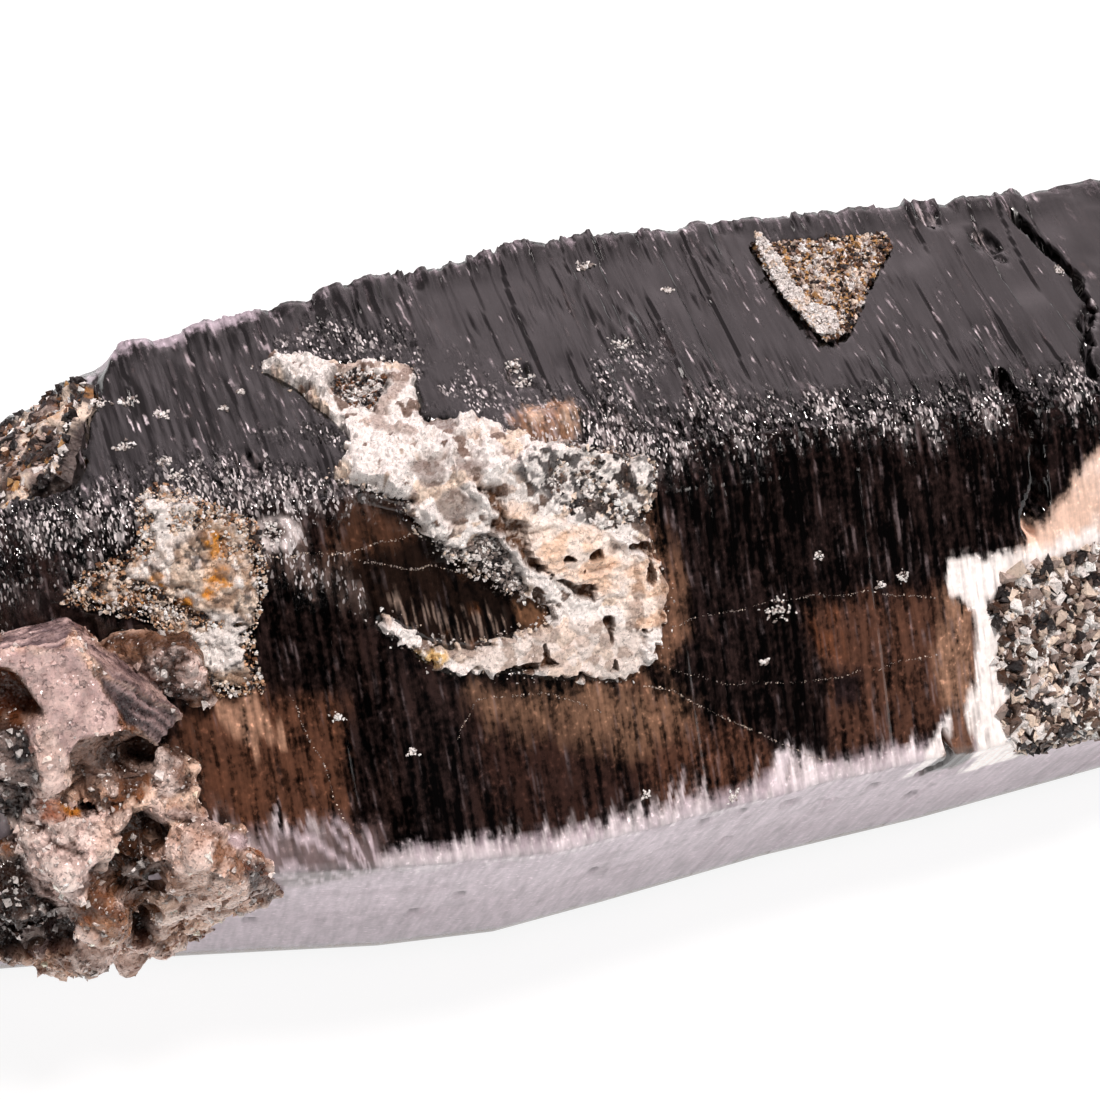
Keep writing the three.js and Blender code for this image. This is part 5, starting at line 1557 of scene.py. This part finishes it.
def build_cluster(material):
    """The chunks and lumps as one craggy skin, coloured zone by zone, with painted shade in its hollows and
    painted light on its peaks, and small crystals on it.
    """
    shells = [np.concatenate([face_points(*corner) for corner in corners]) for corners in CHUNKS]
    shells = [convex_hull(corners) for corners in shells + [lump_corners(*lump) for lump in LUMPS]]
    points, quads, normals = fused(shells, CLUSTER_VOXEL)
    x, y, z = points.T
    bent = points + 0.5 * np.stack([clouds(y / 2, z / 2, 161 + i, x / 2) for i in range(3)], -1)
    coarse, _ = crag(bent, 1.7, 171)
    small, small_mark = crag(bent, 0.8, 181)
    tiny, tiny_mark = crag(bent, 0.38, 185)
    ripple = clouds(y / 0.8, z / 0.8, 162, x / 0.8)
    patch = clouds(y / 1.6, z / 1.6, 164, x / 1.6)
    craggy = 0.45 * (coarse + 0.3) + 0.34 * small + 0.18 * tiny
    speckle = 0.55 * (small_mark > 0.6) + 0.45 * (tiny_mark > 0.55) + 0.9 * ramp(1.6 * patch - 0.2)
    speckle = np.clip(speckle, 0, 1)

    stain = ramp(3.4 * clouds(y / 1.0, z / 1.0, 165, x / 1.0) - 0.6)
    tint = layered(BROWN, (CREAM, 0.9 * speckle), (UMBER, stain * 0.8))
    rough = np.ones(len(points))
    sunk = np.zeros(len(points))
    grown = np.zeros(len(points))
    across, up = seen(points)
    across = across + 0.3 * clouds(y / 0.9, z / 0.9, 163, x / 0.9)
    up = up + 0.3 * clouds(y / 0.9, z / 0.9, 166, x / 0.9)
    for number, (outline, first, second, relief, depth, growth) in enumerate(CLUSTER_ZONES):
        soft = 0.3 + 0.35 * abs(depth)
        share = ramp(inside(outline, across, up) / soft + 0.5)
        tone = speckle * (0.35 + 0.65 * relief) + 0.5 * (1 - relief) * ramp(1.8 * ripple)
        if growth:
            along = across * growth[0] + up * growth[1]
            over = up * growth[0] - across * growth[1]
            lines = cloud(along / 2.6, over / 0.17, 300 + number)
            lines = lines + 0.6 * cloud(along / 1.7, over / 0.08, 400 + number)
            tone = 0.3 * speckle + ramp(1.3 * lines)
            grown += share * (0.07 * lines - grown)
        else:
            grown -= share * grown
        colours = mixed(linear(*first), linear(*second), np.clip(tone, 0, 1))
        tint = mixed(tint, colours, share)
        rough += share * (relief - rough)
        sunk += share * (depth - sunk)
    # Painted shade in the hollows of the relief and painted light on its peaks.
    height = (craggy - craggy.mean()) / craggy.std()
    tint = layered(
        tint,
        (0.4 * UMBER, 0.8 * ramp(-0.9 * height - 0.25) * rough),
        (SNOW, 0.6 * ramp(1.1 * height - 0.7 + 0.5 * patch) * ramp(1.6 * rough - 0.6)),
    )
    tint = np.clip(tint * CLUSTER_CAST, 0, 0.95)
    lift = (0.08 + 0.92 * rough) * craggy - sunk + grown + 0.04 * ripple
    shape = points + lift[:, None] * normals
    uneven = 0.1 * np.abs(ripple)
    shape[:, 2] = np.maximum(shape[:, 2], CLUSTER_FOOT + uneven)
    shape[:, 1] = np.maximum(shape[:, 1], CLUSTER_FRONT - uneven)
    shape[:, 0] = np.maximum(shape[:, 0], CLUSTER_BASE - uneven)
    triangles = np.concatenate([quads[:, [0, 1, 2]], quads[:, [0, 2, 3]]])

    # Small crystals over all but the smooth faces.
    heap = Heap()
    heap.add(shape, triangles, tint)
    rng = np.random.default_rng(13)
    chosen = rng.choice(len(points), CLUSTER_GRAINS * 3, replace=False)
    held = (rough[chosen] > rng.uniform(0.25, 1.0, len(chosen))) & (shape[chosen, 2] > 0.5)
    chosen = chosen[held][:CLUSTER_GRAINS]
    sizes = grain_sizes(rng, len(chosen), 0.08, 0.42)
    tints = tint[chosen] * rng.uniform(0.6, 1.5, (len(chosen), 1))
    bright = rng.uniform(0, 1, len(chosen)) < 0.36
    tints[bright] += 0.6 * (SNOW - tints[bright])
    add_grains(heap, shape[chosen], sizes, np.clip(tints, 0, 0.95), rng)
    return heap.build("base_cluster", material)


# ---- materials ----

SMOKE_COLOUR = (0.60, 0.28, 0.0, 1)
SMOKE_DENSITY = 450.0
QUARTZ_IOR = 1.544
# The colour of the bright flakes, which are painted glints.
GLINT_FLAKE_COLOUR = (0.86, 0.8, 0.8, 1)
# Noise and facets in the quartz, as numbers to a metre along the crystal, across it and up.
STREAKS = (3000, 260, 260)
PATCHES = (1100, 900, 900)
GRIT = (4200, 3400, 3400)
FACETS = (13000, 5200, 5200)
WIDE_FACETS = (6400, 2700, 2700)
NOISE_DETAIL = 5.0
# How many times finer a mineral's second layer of crystals is.
FINER = 2.3


class Graph:
    """The nodes of a material or world, made and joined in short calls."""

    def __init__(self, owner):
        owner.use_nodes = True
        self.nodes, self.links = owner.node_tree.nodes, owner.node_tree.links

    def fill(self, node, inputs):
        """Feeds a node's inputs, each from a socket or with a plain value, and gives it back."""
        for name, value in inputs.items():
            if isinstance(value, bpy.types.NodeSocket):
                self.links.new(value, node.inputs[name])
            else:
                node.inputs[name].default_value = value
        return node

    def node(self, kind, inputs):
        return self.fill(self.nodes.new(kind), inputs)

    def math(self, operation, *values):
        node = self.nodes.new("ShaderNodeMath")
        node.operation = operation
        return self.fill(node, dict(enumerate(values))).outputs["Value"]

    def vector(self, operation, first, second, output="Vector"):
        node = self.nodes.new("ShaderNodeVectorMath")
        node.operation = operation
        inputs = {0: first, "Scale" if operation == "SCALE" else 1: second}
        return self.fill(node, inputs).outputs[output]

    def ranged(self, value, low, high, to_low, to_high):
        """A value carried from one range to another, held at its ends."""
        inputs = {"Value": value, "From Min": low, "From Max": high, "To Min": to_low, "To Max": to_high}
        return self.node("ShaderNodeMapRange", inputs).outputs["Result"]

    def painted(self, name):
        """A mesh's vertex colours."""
        node = self.nodes.new("ShaderNodeVertexColor")
        node.layer_name = name
        return node.outputs["Color"]

    def parts(self, colour):
        """Red, green and blue."""
        node = self.node("ShaderNodeSeparateColor", {"Color": colour})
        return [node.outputs[name] for name in ("Red", "Green", "Blue")]

    def place(self, scale):
        """The object's own space, scaled along each axis."""
        own = self.node("ShaderNodeTexCoord", {}).outputs["Object"]
        return self.node("ShaderNodeMapping", {"Vector": own, "Scale": scale}).outputs["Vector"]

    def noise(self, scale):
        inputs = {"Vector": self.place(scale), "Scale": 1.0, "Detail": NOISE_DETAIL}
        return self.node("ShaderNodeTexNoise", inputs).outputs["Fac"]

    def facets(self, scale):
        """Crowded facets: a height that tilts each one, and a number of each."""
        place = self.place(scale)
        cell = self.node("ShaderNodeTexVoronoi", {"Vector": place, "Scale": 1.0})
        off = self.vector("SUBTRACT", place, cell.outputs["Position"])
        lean = self.vector("SUBTRACT", cell.outputs["Color"], (0.5, 0.5, 0.5))
        return self.vector("DOT_PRODUCT", off, lean, "Value"), self.parts(cell.outputs["Color"])[0]

    def bump(self, height):
        """The normal of a bump whose height is in millimetres."""
        return self.node("ShaderNodeBump", {"Height": height, "Distance": MM}).outputs["Normal"]


def new_material(name):
    material = bpy.data.materials.new(name)
    graph = Graph(material)
    return material, graph, graph.nodes["Principled BSDF"]


def quartz_material():
    """Clear smoky glass, with frosted, milky and glittering places from the vertex colours."""
    material, graph, shader = new_material("smoky_quartz")
    clear, rough, glitter = graph.parts(graph.painted("marks"))
    streaks, patches, grit = (graph.noise(scale) for scale in (STREAKS, PATCHES, GRIT))
    tilt, chance = graph.facets(FACETS)
    wide_tilt, wide_chance = graph.facets(WIDE_FACETS)

    # Mottled and streaked colour, calmer where the surface is frosted.
    calm = graph.ranged(rough, 0.2, 0.38, 1.0, 0.35)
    blend = graph.math("MULTIPLY_ADD", patches, 0.6, grit)
    blend = graph.math("MULTIPLY_ADD", streaks, 1.6, blend)
    swing = graph.math("MULTIPLY", graph.math("SUBTRACT", blend, 1.6), calm)
    fleck = graph.math("MULTIPLY", graph.ranged(grit, 0.62, 0.7, 0.0, 1.0), calm)
    tone = graph.math("ADD", graph.math("MULTIPLY_ADD", swing, 1.9, 1.0), fleck)
    body = graph.vector("SCALE", graph.painted("tint"), graph.math("MAXIMUM", tone, 0.15))

    # Bright flakes among the glitter: painted glints.
    chance = graph.math("MULTIPLY_ADD", glitter, 0.3, chance)
    wide_chance = graph.math("MULTIPLY_ADD", glitter, 0.12, wide_chance)
    best = graph.math("MAXIMUM", chance, wide_chance)
    bright = graph.ranged(best, 1.0, 1.16, 0.25, 1.0)
    glint_flake = graph.math("MULTIPLY", bright, graph.ranged(best, 1.0, 1.02, 0.0, 1.0))
    colour = graph.nodes.new("ShaderNodeMix")
    colour.data_type = "RGBA"
    graph.fill(colour, {"Factor": glint_flake, "A": body, "B": GLINT_FLAKE_COLOUR})
    open_share = graph.ranged(graph.math("SUBTRACT", clear, swing), 0.3, 0.75, 0.0, 1.0)
    shut = graph.math("SUBTRACT", 1.0, glint_flake)

    # Growth lines, and tilted facets where it glitters.
    lines = graph.math("MULTIPLY", streaks, 0.032)
    tilts = graph.math("MULTIPLY_ADD", wide_tilt, 0.2, graph.math("MULTIPLY", tilt, 0.12))
    graph.fill(shader, {
        "Base Color": colour.outputs["Result"],
        "Transmission Weight": graph.math("MULTIPLY", open_share, shut),
        "Roughness": rough,
        "IOR": QUARTZ_IOR,
        "Normal": graph.bump(graph.math("MULTIPLY_ADD", tilts, glitter, lines)),
    })
    smoke = graph.node("ShaderNodeVolumeAbsorption", {"Color": SMOKE_COLOUR, "Density": SMOKE_DENSITY})
    graph.fill(graph.nodes["Material Output"], {"Volume": smoke.outputs["Volume"]})
    return material


def mineral_material(name, roughness, grain, contrast):
    """Crowded small crystals of about the grain size in mm, each with its own tilt and tone."""
    material, graph, shader = new_material(name)
    scale = 1 / (grain * MM)
    tilt, chance = graph.facets((scale,) * 3)
    fine_tilt, fine_chance = graph.facets((FINER * scale,) * 3)
    both = graph.math("ADD", chance, fine_chance)
    tone = graph.ranged(both, 0.15, 0.85, 1 - contrast, 1.05)
    height = graph.math("MULTIPLY", tilt, 0.6 * grain)
    height = graph.math("MULTIPLY_ADD", fine_tilt, 0.25 * grain, height)
    graph.fill(shader, {
        "Base Color": graph.vector("SCALE", graph.painted("tint"), tone),
        "Roughness": graph.ranged(fine_chance, 0.0, 1.0, roughness - 0.1, roughness + 0.2),
        "Normal": graph.bump(height),
    })
    return material


# ---- the stage ----

FLOOR_HALF = 6.0
FLOOR_GREY = (0.2, 0.2, 0.2, 1)
FLOOR_GLOW = 0.9
# The sky glows round this direction, most of all in a band up the middle at this X.
SKY_COLOUR = (1.0, 0.84, 0.88, 1)
SKY_TOWARDS = (0.15, 0.72, 0.68)
SKY_MIDDLE = 0.3
SUN_COLOUR = (1.0, 0.93, 0.9)
# Name, direction towards the light, strength, width in degrees.
SUNS = [
    ("overhead", (0.2, -0.25, 0.95), 3.3, 12),
    ("back_left", (-0.6, 0.68, 0.42), 0.1, 8),
    ("back_right", (0.8, 0.5, 0.34), 0.06, 8),
    ("low_left", (-0.74, -0.66, 0.2), 0.15, 10),
    ("low_right", (0.8, -0.6, 0.2), 0.12, 10),
]
NEAREST_SEEN = 0.005
FARTHEST_SEEN = 50


def build_floor():
    """A wide white floor, which glows so that it stays white in the shade."""
    mesh = bpy.data.meshes.new("floor")
    corners = [(a * FLOOR_HALF, b * FLOOR_HALF, 0) for a, b in ((-1, -1), (1, -1), (1, 1), (-1, 1))]
    mesh.from_pydata(corners, [], [(0, 1, 2, 3)])
    floor = bpy.data.objects.new("floor", mesh)
    bpy.context.scene.collection.objects.link(floor)
    material, graph, shader = new_material("white_floor")
    graph.fill(shader, {
        "Base Color": FLOOR_GREY,
        "Roughness": 1.0,
        "Specular IOR Level": 0.0,
        "Emission Color": (1, 1, 1, 1),
        "Emission Strength": FLOOR_GLOW,
    })
    mesh.materials.append(material)


def build_sky():
    """A soft glow behind and above the object, for its faces to mirror."""
    world = bpy.data.worlds.new("studio")
    bpy.context.scene.world = world
    graph = Graph(world)
    place = graph.node("ShaderNodeTexCoord", {}).outputs["Generated"]
    aim = graph.vector("DOT_PRODUCT", place, SKY_TOWARDS, "Value")
    glow = graph.ranged(aim, 0.35, 0.85, 0.05, 1.75)
    glow.node.interpolation_type = "SMOOTHSTEP"
    across = graph.node("ShaderNodeSeparateXYZ", {"Vector": place}).outputs["X"]
    aside = graph.math("ABSOLUTE", graph.math("SUBTRACT", across, SKY_MIDDLE))
    narrow = graph.ranged(aside, 0.06, 0.5, 1.0, 0.3)
    strength = graph.math("MULTIPLY", glow, narrow)
    graph.fill(graph.nodes["Background"], {"Color": SKY_COLOUR, "Strength": strength})


def add_sun(name, towards, strength, angle):
    data = bpy.data.lights.new(name, "SUN")
    data.energy = strength
    data.color = SUN_COLOUR
    data.angle = math.radians(angle)
    light = bpy.data.objects.new(name, data)
    light.rotation_mode = "QUATERNION"
    light.rotation_quaternion = Vector(towards).to_track_quat("Z", "Y")
    bpy.context.scene.collection.objects.link(light)


def add_camera():
    scene = bpy.context.scene
    data = bpy.data.cameras.new("camera")
    data.lens = CAMERA_LENS
    data.sensor_width = CAMERA_SENSOR
    data.sensor_fit = "HORIZONTAL"
    data.clip_start = NEAREST_SEEN
    data.clip_end = FARTHEST_SEEN
    camera = bpy.data.objects.new("camera", data)
    scene.collection.objects.link(camera)
    right, upward, away = view_axes()
    place = (LOOK_POINT + VIEW_DISTANCE * away) * MM
    camera.matrix_world = Matrix.Translation(place) @ Matrix((right, upward, away)).transposed().to_4x4()
    scene.camera = camera
    scene.view_settings.view_transform = "Standard"


def build_stage():
    build_floor()
    build_sky()
    for sun in SUNS:
        add_sun(*sun)
    add_camera()


# ---- the object ----


def adopt(piece, node):
    """Puts a piece on the root, and hides the solid that it stands for, if there is one."""
    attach(piece, "root")
    if node:
        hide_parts(node)


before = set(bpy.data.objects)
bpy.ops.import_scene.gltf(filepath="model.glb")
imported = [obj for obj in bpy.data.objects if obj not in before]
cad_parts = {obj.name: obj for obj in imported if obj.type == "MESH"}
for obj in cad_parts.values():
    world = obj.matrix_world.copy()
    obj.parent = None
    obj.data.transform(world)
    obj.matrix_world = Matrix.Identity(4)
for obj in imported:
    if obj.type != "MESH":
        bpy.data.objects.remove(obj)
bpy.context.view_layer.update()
build_stage()
adopt(build_crystal(quartz_material()), "quartz_crystal")
adopt(build_centre_crust(mineral_material("white_crust", 0.3, 0.16, 0.4)), "centre_crust")
adopt(build_left_crust(mineral_material("stained_crust", 0.35, 0.16, 0.5)), "left_crust")
adopt(build_side_matrix(mineral_material("grey_rock", 0.45, 0.2, 0.5)), "side_matrix")
adopt(build_top_matrix(mineral_material("brown_rock", 0.45, 0.16, 0.5)), "top_matrix")
adopt(build_base_matrix(mineral_material("base_rock", 0.45, 0.2, 0.5)), "base_matrix")
adopt(build_fractures(mineral_material("fracture_white", 0.35, 0.1, 0.2)), None)
adopt(build_cluster(mineral_material("base_crystals", 0.24, 0.24, 0.6)), None)
